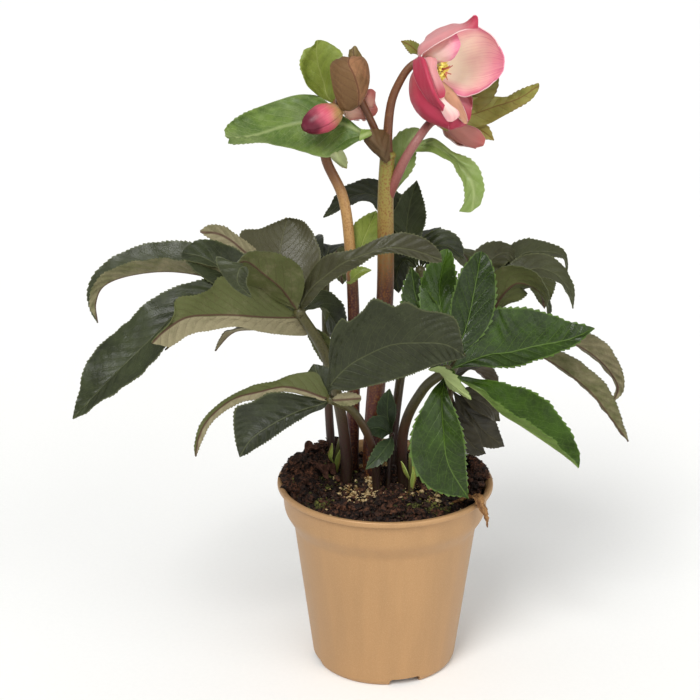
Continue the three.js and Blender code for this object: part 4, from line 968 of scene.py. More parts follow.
def soil_body():
    """The potting mix, up the inside of the wall and over its crumbly top."""
    turns = np.linspace(0, 2 * np.pi, SOIL_SIDES, endpoint=False)
    points = [(r * math.cos(a), r * math.sin(a), height) for r, height in SOIL_WALL for a in turns]
    top = np.arange(SOIL_BRIM, 0.8, -SOIL_STEP)
    for x, y in ((r * math.cos(a), r * math.sin(a)) for r in top for a in turns):
        points.append((x, y, crumbled(x, y)))
    points += [(0, 0, SOIL_FOOT), (0, 0, crumbled(0, 0))]
    return part(points, tube_faces(len(SOIL_WALL) + len(top), SOIL_SIDES), tint=(0.42, 0, 0))


def lump_shape(detail):
    body = bmesh.new()
    bmesh.ops.create_icosphere(body, subdivisions=detail, radius=1)
    points = np.array([vert.co[:] for vert in body.verts])
    faces = [tuple(vert.index for vert in face.verts) for face in body.faces]
    body.free()
    return points, faces


def lumps(
    count, sizes, place, seed, detail=2, sunk=0.25, light=(0.3, 0.7), rough=0.6, level=None,
    squash=0.7,
):
    """Small uneven grains that lie on the soil, or on another level if one is given.
    place(draw) gives where each lies."""
    draw = random.Random(seed)
    shape, faces = lump_shape(detail)
    made = []
    for _ in range(count):
        x, y = place(draw)
        if not level and math.hypot(x, y) > SOIL_BRIM - 1.5:
            continue
        size = sizes[0] + (sizes[1] - sizes[0]) * draw.random() ** 2
        shift = Vector((draw.random() * 50, draw.random() * 50, draw.random() * 50))
        swell = [1 + rough * 2 * noise.noise(Vector(p) * 1.9 + shift) for p in shape]
        stretch = np.array([1.25, 0.5 + 0.5 * draw.random(), squash])
        turn = np.array(Matrix.Rotation(draw.random() * 6.28, 3, "Z"))
        tilt = np.array(Matrix.Rotation((draw.random() - 0.5) * 1.2, 3, "X"))
        points = (shape * np.array(swell)[:, None] * stretch * size) @ tilt.T @ turn.T
        points += (x, y, (level or crumbled)(x, y) + size * squash * (1 - 2 * sunk))
        tint = (light[0] + (light[1] - light[0]) * draw.random(), 0, 0)
        made.append(part(points, faces, tint=tint))
    return made


def anywhere(draw):
    radius, turn = (SOIL_BRIM - 1) * math.sqrt(draw.random()), draw.random() * 2 * math.pi
    return radius * math.cos(turn), radius * math.sin(turn)


def around(spots):
    """Places drawn round a few spots, each (x, y, spread)."""

    def draw_place(draw):
        x, y, spread = draw.choice(spots)
        return draw.gauss(x, spread), draw.gauss(y, spread * 0.8)

    return draw_place


def spilled(draw):
    """A place on the heaps that lie over the rim."""
    first, last = draw.choice(SPILLS)
    turn = draw.uniform(first, last)
    radius = draw.uniform(SOIL_BRIM - 3, RIM_RADIUS - 2.8)
    return radius * math.cos(turn), radius * math.sin(turn)


def over_rim(x, y):
    """Height of the heaps over the rim, which sink towards their ends and outwards."""
    radius, turn = math.hypot(x, y), math.atan2(y, x) % (2 * math.pi)
    first, last = SPILLS[0] if LEFT_ARC[0] < turn < LEFT_ARC[1] else SPILLS[1]
    share = ((turn - first + math.pi) % (2 * math.pi) - math.pi) / (last - first)
    heap = math.sin(math.pi * min(1, max(0, share))) ** 0.5
    outward = min(1, max(0, (RIM_RADIUS - 1.5 - radius) / 5)) ** 0.5
    uneven = 0.6 + 0.8 * noise.noise((x / 5, y / 5, 1.7)) ** 2
    return POT_HEIGHT - 1 + HEAP_HEIGHT * heap * outward * uneven


def build_soil(wet, dry):
    crumbs = lumps(860, (0.9, 2.8), anywhere, 11, light=(0.15, 0.75), rough=0.8)
    crumbs += lumps(36, (2.4, 4.8), around(CLOD_SPOTS), 12, detail=3, sunk=0.4, rough=0.9)
    crumbs += lumps(2200, (0.4, 1.3), anywhere, 13, 1, light=(0.2, 1.0), rough=0.7)
    heap = {"rough": 0.8, "sunk": 0.7, "level": over_rim}
    crumbs += lumps(460, (0.9, 2.3), spilled, 18, light=(0.15, 0.8), **heap)
    heap = {"rough": 0.7, "sunk": 0.3, "level": over_rim}
    crumbs += lumps(700, (0.7, 1.6), spilled, 19, 1, light=(0.2, 1.0), **heap)
    grit = lumps(1000, (0.45, 1.5), around(GRIT_SPOTS), 14, 1, sunk=0.0, light=(-0.3, 1.0))
    grit += lumps(110, (0.4, 1.1), anywhere, 15, 1, sunk=0.1, light=(-0.3, 1.0))
    moss = lumps(1300, (0.4, 1.2), around(MOSS_SPOTS), 16, 1, sunk=0.0, light=(0.0, 1.0))
    moss += lumps(250, (0.4, 1.0), anywhere, 17, 1, light=(0.0, 0.8))
    mix = peat("peat_potting_mix", wet, dry)
    cream_grit = grains("cream_grit", linear("86683e"), linear("d8c294"))
    cushion_moss = grains("cushion_moss", linear("242613"), linear("6c6c34"), 0.5)
    add_piece("potting_mix", [soil_body()], [mix], "potting_mix", ["soil"], sharp_deg=0)
    add_piece("potting_mix_crumbs", crumbs, [mix], "potting_mix", sharp_deg=0)
    add_piece("grit", grit, [cream_grit], "potting_mix", sharp_deg=0)
    add_piece("moss", moss, [cushion_moss], "potting_mix", sharp_deg=0)


# ---------------------------------------------------------------- flowering stalks
MAIN_STALK = dict(
    line=[[-8, 4, ROOT_LEVEL], [-8, 3, 125], [-6, 2, 170], [-1, 0, 229], [-1, 0, 288], [0, 0, 314]],
    radii=[5.9, 4.4],
)
BUD_SIDE_STALK = dict(line=[[0, 0, 308], [-7, 0, 328], [-15, 0, 345]], radii=[2.4, 2.0])
BLOOM_STALK = dict(
    line=[[0, 0, 308], [0, -1, 328], [2, -2, 345], [7, -2, 357], [12, -2, 364], [17, -2, 367]],
    radii=[2.8, 2.1],
)
LOW_BLOOM_STALK = dict(
    line=[[0, 0, 290], [5, -2, 302], [10, -3, 313], [17, -2, 324], [24, 7, 331], [30, 19, 331]],
    radii=[2.9, 2.3],
)
HIDDEN_BLOOM_STALK = dict(line=[[-15, 0, 343], [-18, 3, 348], [-17, 10, 343]], radii=[1.9, 1.6])
SIDE_STALK = dict(
    line=[
        [-20, 13, ROOT_LEVEL], [-20, 13, 125], [-19, 11, 170], [-19, 8, 216], [-21, 7, 256],
        [-25, 9, 287], [-35, 12, 310], [-34, 14, 328], [-28, 13, 342],
    ],
    radii=[4.3, 2.7],
)
BUD_STALK = dict(line=[[-28, 13, 341], [-27, 5, 347], [-26, -6, 342]], radii=[2.2, 1.8])


def build_stalks(foot, upper):
    """The two flowering stalks, each with the flower stalks that branch from it."""
    thick = stalk_skin(
        "flowering_stalk_skin", foot, upper, linear("7a4a20"), (0.225, 0.29), 0.95, 0.8,
        (0.26, 0.325), linear("76752e"),
    )
    browns = linear("5e3222"), linear("6a4228"), linear("8a6238")
    slender = stalk_skin("flower_stalk_skin", *browns, (0.3, 0.36), 0.35)
    reds = linear("7e4038"), linear("94605a"), linear("6a3c30")
    blush = stalk_skin("low_flower_stalk_skin", *reds, (0.29, 0.325), 0.3)
    tans = foot, linear("b78e58"), linear("8c5c34")
    tan = stalk_skin(
        "side_flowering_stalk_skin", *tans, (0.228, 0.268), 0.65, 0.8, (0.282, 0.306)
    )
    skins = [thick, slender, blush, tan]
    branches = [  # each with the number of its skin
        (BUD_SIDE_STALK, 1), (BLOOM_STALK, 1), (LOW_BLOOM_STALK, 2), (HIDDEN_BLOOM_STALK, 1),
    ]
    main = [tube(**MAIN_STALK, sides=32), ball(MAIN_STALK["line"][-1], (5.0, 3.0))]
    main += [tube(**one, skin=skin, foot=0.25) for one, skin in branches]
    side = [tube(**SIDE_STALK, sides=24, skin=3), tube(**BUD_STALK, skin=1)]
    side.append(ball(SIDE_STALK["line"][-1], (2.7, 2.4), skin=3))
    add_piece("flowering_stalk_main", main, skins, "stalk_skin", ["flower_stalk_main"])
    add_piece("flowering_stalk_side", side, skins, "stalk_skin", ["flower_stalk_side"])


# ---------------------------------------------------------------- leaves
HUB_SWELL = 1.2  # radius of the hub for each mm of its stalk's
HUB_ROOT = 0.55  # how far out in the hub its blades start, as a share of its radius
LEAF_TOOTH = {  # pitch and depth of the teeth
    "dark_leaf": (2.3, 0.7), "bright_leaf": (3.6, 1.25), "purple_leaf": (2.4, 0.6),
    "young_leaf": (2.6, 0.7),
}
LEAF_LEFT_UPPER = dict(
    name="leaf_left_upper", slot="dark_leaf",
    line=[[-24, -2, ROOT_LEVEL], [-24, -3, 140], [-34, -11, 195], [-50, -18, 227]],
    radii=[3.6, 3.0],
    blades=[
        dict(
            to=[[-71, -16, 236], [-98, -18, 240], [-118, -26, 230], [-134, -36, 216],
                [-155, -46, 197], [-176, -54, 176]],
            wide=[16, 21], face=[[0, -5, 8], [0, -5, 8], [-5, -6, 6], [-5, -6, 5]], widest=0.7,
            root=2.4, wave=1.5, tint=(0.5, 0, 0.0), pleat=0.6,
        ),
        dict(lines=[
            [[-46, -13, 212], [-69, -27, 218], [-85, -32, 223], [-99, -38, 223], [-110, -44, 222.5],
             [-121, -51, 217]],
            [[-49, -15, 219], [-69, -25.5, 222], [-85, -31, 226], [-99, -37, 227.5],
             [-111, -44, 228], [-126, -54, 219.5]],
            [[-53, -18, 224], [-69, -24, 226], [-85, -30, 229], [-99, -36, 231], [-112, -44, 232],
             [-123, -52, 227], [-130, -56, 221]],
            [[-56, -17, 229], [-70, -22, 234], [-84, -26, 239], [-97, -31, 240], [-108, -40, 239],
             [-121, -49, 230], [-130, -56, 221.5]],
            [[-58, -16, 233], [-71, -20, 241], [-83, -22, 247], [-94, -26, 250], [-99, -31, 245],
             [-106, -37, 243], [-117, -42, 242], [-119, -49, 233], [-130, -56, 222]],
        ], skins=(1, 0), tint=(0.5, 0, 0), sides=(0.6, 0.14)),
        dict(
            to=[[-68, -17, 222], [-85, -21, 223], [-103, -29, 225], [-124, -46, 214]], wide=8,
            face=[[0, 5, 8], [-4, 4, 7]], fold=20, tint=(0.5, 0, 0.1),
        ),
        dict(
            to=[[-72, -10, 234], [-99, -4, 243], [-125, 1, 246], [-149, 3, 243], [-164, 2, 237],
                [-169, 0, 227], [-168, -3, 216]],
            wide=[12, 19], face=[[0, 1, 9], [0, 0, 9], [-9, 0, 3]], fold=52, tint=(0.5, 0.0, 0.4),
        ),
        dict(
            to=[[-59, -26, 243], [-69, -36, 255], [-77, -44, 264], [-83, -51, 265]], wide=[19, 21],
            face=[[3, 8, 4], [1, 8, 4]], fold=8, root=1.1, point=0.9, tint=(0.45, 0, 0.2),
        ),
        dict(start=[-77.5, -54, 265.5], lines=[  # and its tip, folded over to the front
            [[-76, -56, 261.5], [-77.5, -58, 256], [-74.5, -59, 248.5]],
            [[-81, -57.5, 263], [-81.5, -59.5, 256.5], [-74.5, -59, 248.5]],
            [[-85, -56, 267.5], [-93, -54, 269.5], [-91.5, -56, 263], [-85.5, -58, 255],
             [-79.5, -59, 250.5], [-74.5, -59, 248]],
        ], tint=(0.5, 0, 0.3)),
        dict(
            to=[[-72, -9, 239], [-92, -4, 248], [-106, -1, 255], [-118, 1, 257]], wide=15,
            face=[[4, -3, 5], [3, -5, 6], [-2, -3, 8]], widest=0.7, point=0.5, tint=(0.45, 0, 0),
        ),
        dict(lines=[
            [[-73.5, -2, 233], [-81.5, 5, 248.5], [-85.5, 12, 258.5], [-84, 16, 266],
             [-74, 20, 266.5], [-65, 23, 269.5], [-58, 25, 272]],
            [[-67.5, 0, 232.5], [-73.5, 8, 247.5], [-75.5, 15, 258.5], [-68, 21, 265],
             [-58.5, 25, 272]],
            [[-62, 2, 232], [-63, 11, 246.5], [-61.5, 18, 258.5], [-58, 26, 271.5]],
            [[-56, 2, 232], [-51, 10, 247], [-50, 17, 259], [-52, 22, 267], [-57.5, 26, 271.5]],
            [[-50, 0, 232.5], [-40, 6, 246.5], [-38.5, 10, 254], [-40.5, 14, 259.5], [-44, 18, 266],
             [-49, 22, 270.5], [-57, 25, 272]],
        ], tint=(0.6, 0.25, 0.75), pleat=0.2),
        dict(lines=[
            [[-49, -22, 240], [-42, -25, 255], [-33.5, -28, 263.5], [-19, -30, 267], [-9, -31, 272],
             [-1, -32, 275.5], [7.5, -33, 277.5], [16, -34, 276], [23, -35, 272.5],
             [28, -36, 267.5], [29.5, -36, 263.5]],
            [[-48, -23, 235], [-42, -27, 245], [-34.5, -29, 252], [-25, -32, 260],
             [-13, -34, 265.5], [-1, -35, 269.5], [11, -36, 269], [20.5, -37, 266.5],
             [29.5, -37, 263]],
            [[-47, -23, 231], [-43, -27, 236], [-36, -29, 245], [-27.5, -32, 252.5],
             [-16.5, -34, 259], [-7, -35, 265.5], [3, -36, 267], [11, -37, 265.5],
             [18.5, -38, 263.5], [25.5, -38, 262], [29.5, -37, 262]],
        ], tint=(0.4, 0.15, 0.4)),
        dict(
            to=[[-71, -6, 214], [-89, 2, 209], [-101, 6, 196]], wide=9,
            face=[[0, 3, 9], [-4, 2, 6]], tint=(0.6, 0.5, 0.8),
        ),
        dict(
            to=[[-40, -8, 208], [-30, -4, 188], [-25, -1, 173]], wide=8,
            face=[[3, 7, 4], [4, 6, 2]],
        ),
        dict(
            to=[[-40, 6, 224], [-30, 16, 210], [-28, 22, 192]], wide=11,
            face=[[-2, -6, 6], [5, -5, 4]],
        ),
        dict(lines=[
            [[-77, 2, 248], [-84, 6, 251], [-92, 9, 255], [-99, 10, 261], [-108, 10, 267]],
            [[-75, 2, 252], [-82, 7, 256], [-90, 10, 262], [-98, 11, 266], [-108, 10, 267]],
            [[-73, 2, 255], [-80, 7, 261], [-88, 10, 266], [-94, 11, 270], [-102, 11, 271],
             [-108, 10, 268]],
        ], skins=(1, 0), tint=(0.5, 0, 0), sides=(0.7, 0.5)),
    ],
)
LEAF_FRONT = dict(
    name="leaf_front", slot="dark_leaf",
    line=[[-5, -12, ROOT_LEVEL], [-7, -16, 138], [-18, -31, 170], [-32, -42, 183]],
    radii=[2.6, 2.3],
    blades=[
        dict(lines=[
            [[-36.5, -46, 179], [-44.5, -50, 177], [-55.5, -55, 172], [-71.5, -62, 163],
             [-82, -66, 158]],
            [[-37.5, -46, 180.5], [-47.5, -51, 178.5], [-62, -57, 171.5], [-74.5, -63, 164.5],
             [-82, -66, 158]],
            [[-38, -46, 181.5], [-51, -51, 179], [-65, -57, 173.5], [-76, -62, 167],
             [-82.5, -66, 158]],
            [[-39, -44, 183], [-52.5, -48, 183], [-68.5, -53, 179.5], [-79, -58, 173.5],
             [-83.5, -65, 161]],
            [[-39, -43, 184], [-46, -47, 187], [-57.5, -49, 189.5], [-66.5, -51, 190],
             [-71.5, -52, 187.5], [-77, -53, 185], [-84, -57, 184], [-85.5, -60, 179.5],
             [-85.5, -62, 171.5], [-83.5, -65, 161]],
        ], tint=(0.3, 0, 0.03), pleat=0.35),
        dict(lines=[
            [[-36.5, -44, 183], [-46, -44, 186], [-59, -45, 189], [-68.5, -46, 185.5],
             [-81.5, -46, 183.5], [-91, -47, 178.5], [-99, -48, 172], [-104, -49, 163],
             [-108.5, -50, 151.5]],
            [[-37.5, -43, 185], [-47.5, -42, 188.5], [-59, -42, 190.5], [-72, -43, 188],
             [-85, -43, 184.5], [-94.5, -44, 178.5], [-102.5, -46, 170.5], [-107, -48, 161],
             [-108.5, -50, 151.5]],
            [[-35.5, -40, 190.5], [-40.5, -36, 197], [-52.5, -36, 196], [-64, -37, 192],
             [-75.5, -38, 190], [-86.5, -39, 185], [-94.5, -41, 180.5], [-102, -43, 174],
             [-106.5, -46, 168], [-109, -49, 158.5], [-109, -50, 152]],
        ], skins=(1, 0), tint=(0.5, 0, 0), sides=(0.6, 0.1)),
        dict(to=[[-37, -36, 190], [-42, -30, 200]], wide=9, face=[[0, -8, 4]]),
        dict(lines=[
            [[-30.5, -47, 186], [-26.5, -49, 189], [-20.5, -51, 190.5], [-15, -52, 188.5]],
            [[-30, -47, 184.5], [-24, -50, 186], [-15, -52, 187.5]],
            [[-29.5, -47, 183], [-24, -50, 182.5], [-19, -51, 183.5], [-15, -52, 186.5]],
        ], skins=(1, 0), tint=(0.5, 0, 0), sides=(0.75, 0.45)),
        dict(lines=[
            [[-33, -46, 195], [-32, -50, 203], [-32.5, -52, 216], [-31, -54, 226], [-26, -56, 235],
             [-22, -58, 234], [-15, -60, 240], [-9, -62, 248], [-3, -64, 247], [3, -66, 245],
             [9, -67, 248], [18, -69, 244], [28, -71, 243], [35, -73, 240], [38, -74, 231],
             [40, -75, 221]],
            [[-33, -47, 190], [-33, -51, 197], [-29, -54, 212], [-23, -58, 223], [-11, -62, 233],
             [3, -66, 237], [16, -69, 236], [28, -72, 234], [36, -74, 228], [40, -75, 221]],
            [[-32, -52, 195], [-23, -56, 207], [-13, -60, 215], [1, -65, 223], [16, -70, 226],
             [30, -73, 226], [41, -75, 220]],
            [[-32, -52, 193], [-20, -56, 201], [-6, -61, 208], [8, -66, 215], [22, -70, 219],
             [33, -73, 221], [41, -75, 220]],
            [[-31, -52, 193], [-22, -55, 193], [-9, -59, 198], [1, -63, 202], [12, -67, 207],
             [24, -70, 213], [34, -73, 217], [40, -75, 219]],
        ], tint=(0.32, 0, 0.28), plain=0.4, pleat=0.6),
    ],
)
LEAF_RIGHT_FRONT = dict(
    name="leaf_right_front", slot="bright_leaf",
    line=[[12, -3, ROOT_LEVEL], [10, -10, 148], [20, -26, 182], [33, -38, 199]], radii=[3.4, 2.8],
    blades=[
        dict(
            to=[[52, -45, 188], [64, -48, 177], [76, -51, 170], [98, -57, 156], [107, -60, 149]],
            wide=[25, 9], face=[[3, -4, 8], [5, -5, 7]], fold=[8, 66], point=0.7,
        ),
        dict(
            to=[[56, -32, 206], [69, -27, 206], [84, -22, 208], [105, -15, 210], [120, -10, 215]],
            wide=[26, 10], widest=0.38, face=[[0, -7, 6], [-2, -7, 6]],
        ),
        dict(
            to=[[32, -25, 219], [30, -12, 240], [34.5, -5, 261]], wide=11.5, face=[[-2, -8, 4]],
            point=0.55, tint=(0.6, 0, 0.05),
        ),
        dict(
            to=[[25, -20, 218], [17, -12, 233], [14, -4, 250]], wide=10, face=[[-2, -8, 3]],
            tint=(0.15, 0, 0.3),
        ),
        dict(
            to=[[44, -28, 220], [49.5, -20, 243], [53, -14, 262]], wide=13,
            face=[[2, -9, 3], [3, -9, 2]], point=0.55, tint=(0.2, 0, 0),
        ),
        dict(
            to=[[30, -53, 188], [31, -60, 169], [34, -61, 151], [46, -55, 128]], wide=[11, 20],
            face=[[0, -8, 5], [0, -9, 2]], point=1.1,
        ),
        dict(
            to=[[30, -50, 201], [38, -56, 195], [46, -58, 189]], wide=8, widest=0.4, root=1,
            face=[[0, 7, 6], [4, 6, 5]], tint=(0.5, 0, 0.85),
        ),
    ],
)
LEAF_RIGHT_BACK = dict(
    name="leaf_right_back", slot="dark_leaf",
    line=[[19, 11, ROOT_LEVEL], [24, 12, 140], [42, 14, 185], [62, 15, 212]], radii=[3.2, 2.7],
    blades=[
        dict(
            to=[[88, 8, 195], [106, 2, 185], [122, -2, 172], [134, -6, 157], [144, -8, 144]],
            wide=12, face=[[1, 5, 7], [6, 5, 4]], fold=24, tint=(0.5, 0, 0.36),
        ),
        dict(
            to=[[93, 20, 202], [114, 22, 195], [131, 22, 183], [141, 20, 169], [138, 16, 160]],
            wide=12, face=[[0, 5, 8], [8, 6, 2]], fold=24, tint=(0.5, 0, 0.5),
        ),
        dict(
            to=[[61, 22, 231], [62, 28, 244], [72, 31, 249], [80, 30, 239]], wide=11,
            face=[[-6, -4, 4], [0, -4, 8], [5, -3, 6]], tint=(0.6, 0.15, 0.3),
        ),
        dict(
            to=[[71, 26, 236], [82, 35, 247], [96, 41, 247], [107, 42, 244], [110, 40, 234]],
            wide=9, face=[[-3, -4, 8], [0, -4, 8], [8, -2, 5]], tint=(0.6, 0.1, 0.1),
        ),
        dict(
            to=[[75, 20, 235], [88, 22, 242], [101, 22, 238], [109, 20, 228], [111, 16, 219]],
            wide=10, face=[[-3, -5, 6], [2, -4, 8], [8, -3, 3]], tint=(0.55, 0.1, 0.3),
        ),
        dict(
            to=[[67, 8, 228], [76, 4, 238], [87, 2, 235], [93, 2, 226], [95, 0, 219]], wide=14,
            face=[[3, 7, 4], [3, 6, 6], [6, -4, 5]],
        ),
        dict(
            to=[[70, 34, 226], [84, 58, 232], [98, 80, 216], [104, 92, 196]], wide=15,
            face=[[0, -2, 9], [3, 5, 6]],
        ),
    ],
)
LEAF_BACK = dict(
    name="leaf_back", slot="dark_leaf",
    line=[[4, 20, ROOT_LEVEL], [6, 24, 140], [13, 31, 195], [21, 35, 237]], radii=[3.0, 2.6],
    blades=[
        dict(
            to=[[12, 36, 262], [-5, 34, 282], [-20, 32, 283], [-37, 30, 271]], wide=13,
            face=[[-2, -4, 8], [-2, -3, 9], [-5, -4, 6]],
        ),
        dict(to=[[13, 34, 259], [14, 32, 278], [18, 30, 293]], wide=11, face=[[3, -8, 2]]),
        dict(
            to=[[26, 32, 251], [36, 28, 254], [46, 24, 247]], wide=10,
            face=[[0, -6, 6], [3, -5, 7]],
        ),
        dict(
            to=[[12, 34, 244], [7, 33, 236], [8, 32, 224]], wide=8, face=[[-4, -6, 4], [-4, -7, 0]],
        ),
        dict(
            to=[[22, 52, 250], [20, 76, 250], [14, 98, 232], [10, 110, 206]], wide=17,
            face=[[0, -1, 9], [0, 7, 5]],
        ),
        dict(
            to=[[36, 52, 246], [50, 68, 238], [58, 82, 216]], wide=15, face=[[0, 0, 9], [4, 5, 6]],
        ),
    ],
)
LEAF_BACK_LEFT = dict(
    name="leaf_back_left", slot="dark_leaf",
    line=[[-30, 22, ROOT_LEVEL], [-34, 30, 145], [-36, 42, 200], [-36, 52, 234]], radii=[2.8, 2.3],
    blades=[
        dict(
            to=[[-56, 62, 242], [-80, 74, 238], [-98, 82, 216]], wide=15,
            face=[[0, -1, 9], [-5, 2, 7]],
        ),
        dict(
            to=[[-46, 72, 244], [-58, 94, 236], [-66, 110, 212]], wide=15,
            face=[[0, 0, 9], [-3, 6, 6]],
        ),
        dict(
            to=[[-34, 74, 242], [-30, 98, 232], [-26, 114, 206]], wide=14,
            face=[[0, 0, 9], [1, 6, 6]],
        ),
        dict(
            to=[[-52, 52, 236], [-68, 54, 228], [-78, 56, 214]], wide=10,
            face=[[0, -1, 9], [-5, 0, 6]],
        ),
    ],
)
LEAF_LOW_RIGHT = dict(
    name="leaf_low_right", slot="purple_leaf",
    line=[[26, 1, ROOT_LEVEL], [31, 3, 130], [37, 10, 150], [40, 22, 167]], radii=[2.3, 1.9],
    blades=[
        dict(
            to=[[53, 24, 160], [65, 26, 152], [71, 28, 143]], wide=11,
            face=[[0, -4, 7], [4, -4, 6]],
        ),
        dict(
            to=[[50, 22, 152], [62, 24, 137], [74, 26, 127]], wide=11,
            face=[[-1, -6, 6], [2, -7, 5]],
        ),
        dict(to=[[42, 14, 149], [53, 14, 133], [62, 19, 125]], wide=8, face=[[0, -7, 5]]),
        dict(
            to=[[46, 40, 172], [60, 54, 166], [72, 64, 148]], wide=12, face=[[0, 0, 9], [4, 4, 6]],
        ),
        dict(
            to=[[36, 44, 172], [38, 66, 168], [42, 84, 150]], wide=12, face=[[0, 0, 9], [0, 6, 6]],
        ),
    ],
)
YOUNG_SHOOT = dict(
    name="young_shoot", slot="young_leaf",
    line=[[1, -9, ROOT_LEVEL + 8], [2, -8, 124], [4, -5, 147]], radii=[1.6, 1.2],
    blades=[
        dict(to=[[1, -6, 160], [1, -6, 168], [2, -5, 176]], wide=6, face=[[-2, -6, 0]]),
        dict(to=[[-4, -9, 153], [-12, -11, 152]], wide=7, face=[[-1, -6, 5]], point=0.6),
        dict(to=[[2, -14, 146], [-4, -23, 141], [-12, -27, 134]], wide=5, face=[[-1, -8, 3]]),
    ],
)
LEAVES = [
    LEAF_LEFT_UPPER, LEAF_FRONT, LEAF_RIGHT_FRONT, LEAF_RIGHT_BACK, LEAF_BACK, LEAF_BACK_LEFT,
    LEAF_LOW_RIGHT, YOUNG_SHOOT,
]


def leaf_skins(foliage):
    """Upper and under material of each kind of leaf."""
    wine = linear("4a2a26")
    lighter = lambda colour, gain: tuple(min(1, c * gain) for c in colour)
    dark = lighter(foliage.dark_leaf, 0.5), lighter(foliage.dark_leaf, 1.3)
    bright = lighter(foliage.bright_leaf, 0.45), lighter(foliage.bright_leaf, 1.4)
    purple = linear("211e14"), linear("3a3524"), linear("625c40"), linear("4c4836")
    young = linear("1c2612"), linear("334426"), linear("66784c"), linear("444f38")
    under_dark = linear("525730"), linear("8a8264"), wine
    under_bright = linear("647c3a"), linear("9fae72"), linear("8f9a62")
    under_purple = linear("554c3a"), linear("857c66"), wine
    under_young = linear("4c5f38"), linear("8c9468"), wine
    dark = *dark, linear("70754e"), linear("494c33")
    bright = *bright, linear("7a9a44"), linear("4a5e2c")
    return {
        "dark_leaf": [
            leaf_upper("dark_leathery_leaf", *dark, 0.26, 0.38, 0.16, 0.24),
            leaf_under("dark_leaf_under_side", *under_dark, 0.6),
        ],
        "bright_leaf": [
            leaf_upper("bright_leathery_leaf", *bright, 0.3, 0.26, 0.05, 0.24),
            leaf_under("bright_leaf_under_side", *under_bright, 0.4),
        ],
        "purple_leaf": [
            leaf_upper("purple_young_leaf", *purple, 0.3, 0.5, 0.2),
            leaf_under("purple_leaf_under_side", *under_purple, 0.4),
        ],
        "young_leaf": [
            leaf_upper("green_young_leaf", *young, 0.4, 0.45, 0.15),
            leaf_under("young_leaf_under_side", *under_young, 0.3),
        ],
    }


def build_leaves(foliage):
    skins = leaf_skins(foliage)
    # their own red-brown and olive, darkened further to paint the shade the leaves cast on them
    browns = linear("47281e"), linear("4e4a28"), linear("332e16")
    skin = stalk_skin("leaf_stalk_skin", *browns, (0.13, 0.185), 0.7)
    for number, leaf in enumerate(LEAVES):
        slot, hub = leaf["slot"], leaf["line"][-1]
        swell = leaf["radii"][1] * HUB_SWELL
        draw = random.Random(40 + number)
        parts = [tube(leaf["line"], leaf["radii"], skin=2), ball(hub, (swell, swell), skin=2)]
        for k, blade in enumerate(leaf["blades"]):
            first = blade["to"][0] if "to" in blade else hub
            root = blade.get("start") or from_hub(hub, first, swell * HUB_ROOT)
            tint = blade.get("tint", (0.3 + 0.4 * draw.random(), 0.0, 0.15 * draw.random()))
            seed = 100 * number + k
            build = draped_part if "lines" in blade else blade_part
            parts.append(build(root, blade, LEAF_TOOTH[slot], tint=tint, seed=seed))
        add_piece(leaf["name"] + "_grown", parts, [*skins[slot], skin], slot, [leaf["name"]])


# ---------------------------------------------------------------- sheathed buds
SHEATHED_BUDS = [
    ("sheathed_bud_left", [[-31, 10, 100], [-30, 10, 122], [-27, 8, 141]], [2.6, 0.9]),
    ("sheathed_bud_right", [[15, -15, 100], [15, -15, 122], [14, -15, 139]], [2.4, 0.8]),
]
SCALE_SHAPE = dict(wide=3.4, face=[[6, 1, 1]], fold=25)
OUTER_SCALE_SHAPE = dict(wide=3.0, face=[[-6, 4, 1]], fold=30)
SCRAP_ROOT = [38, -25, 112]
DRY_SCRAP = dict(
    to=[[49, -33, 119], [53, -38, 119.6], [56.5, -39, 113], [59, -40, 103]], wide=3.4,
    face=[[0, 0, 9], [0, 0, 9], [6, -4, 3], [8, -5, 0]], fold=10, tooth=(2.4, 0.9), wave=1.0,
    skins=(0, 0),
)
CRUMPLE = 0.9
CRUMPLE_SPACING = 3.0
# withered flakes lying on the soil: from, to and half width
LITTER = [
    ((-47, 4), (-34, -1), 4.5),
    ((-39, 10), (-29, 3), 4.0),
    ((-50, 16), (-40, 22), 4.0),
    ((44, -2), (50, -10), 3.5),
]
FLAKE_SHAPE = dict(face=[[0, -3, 8]], fold=24, curl=30, wave=2.0, waves=2, skins=(0, 0))


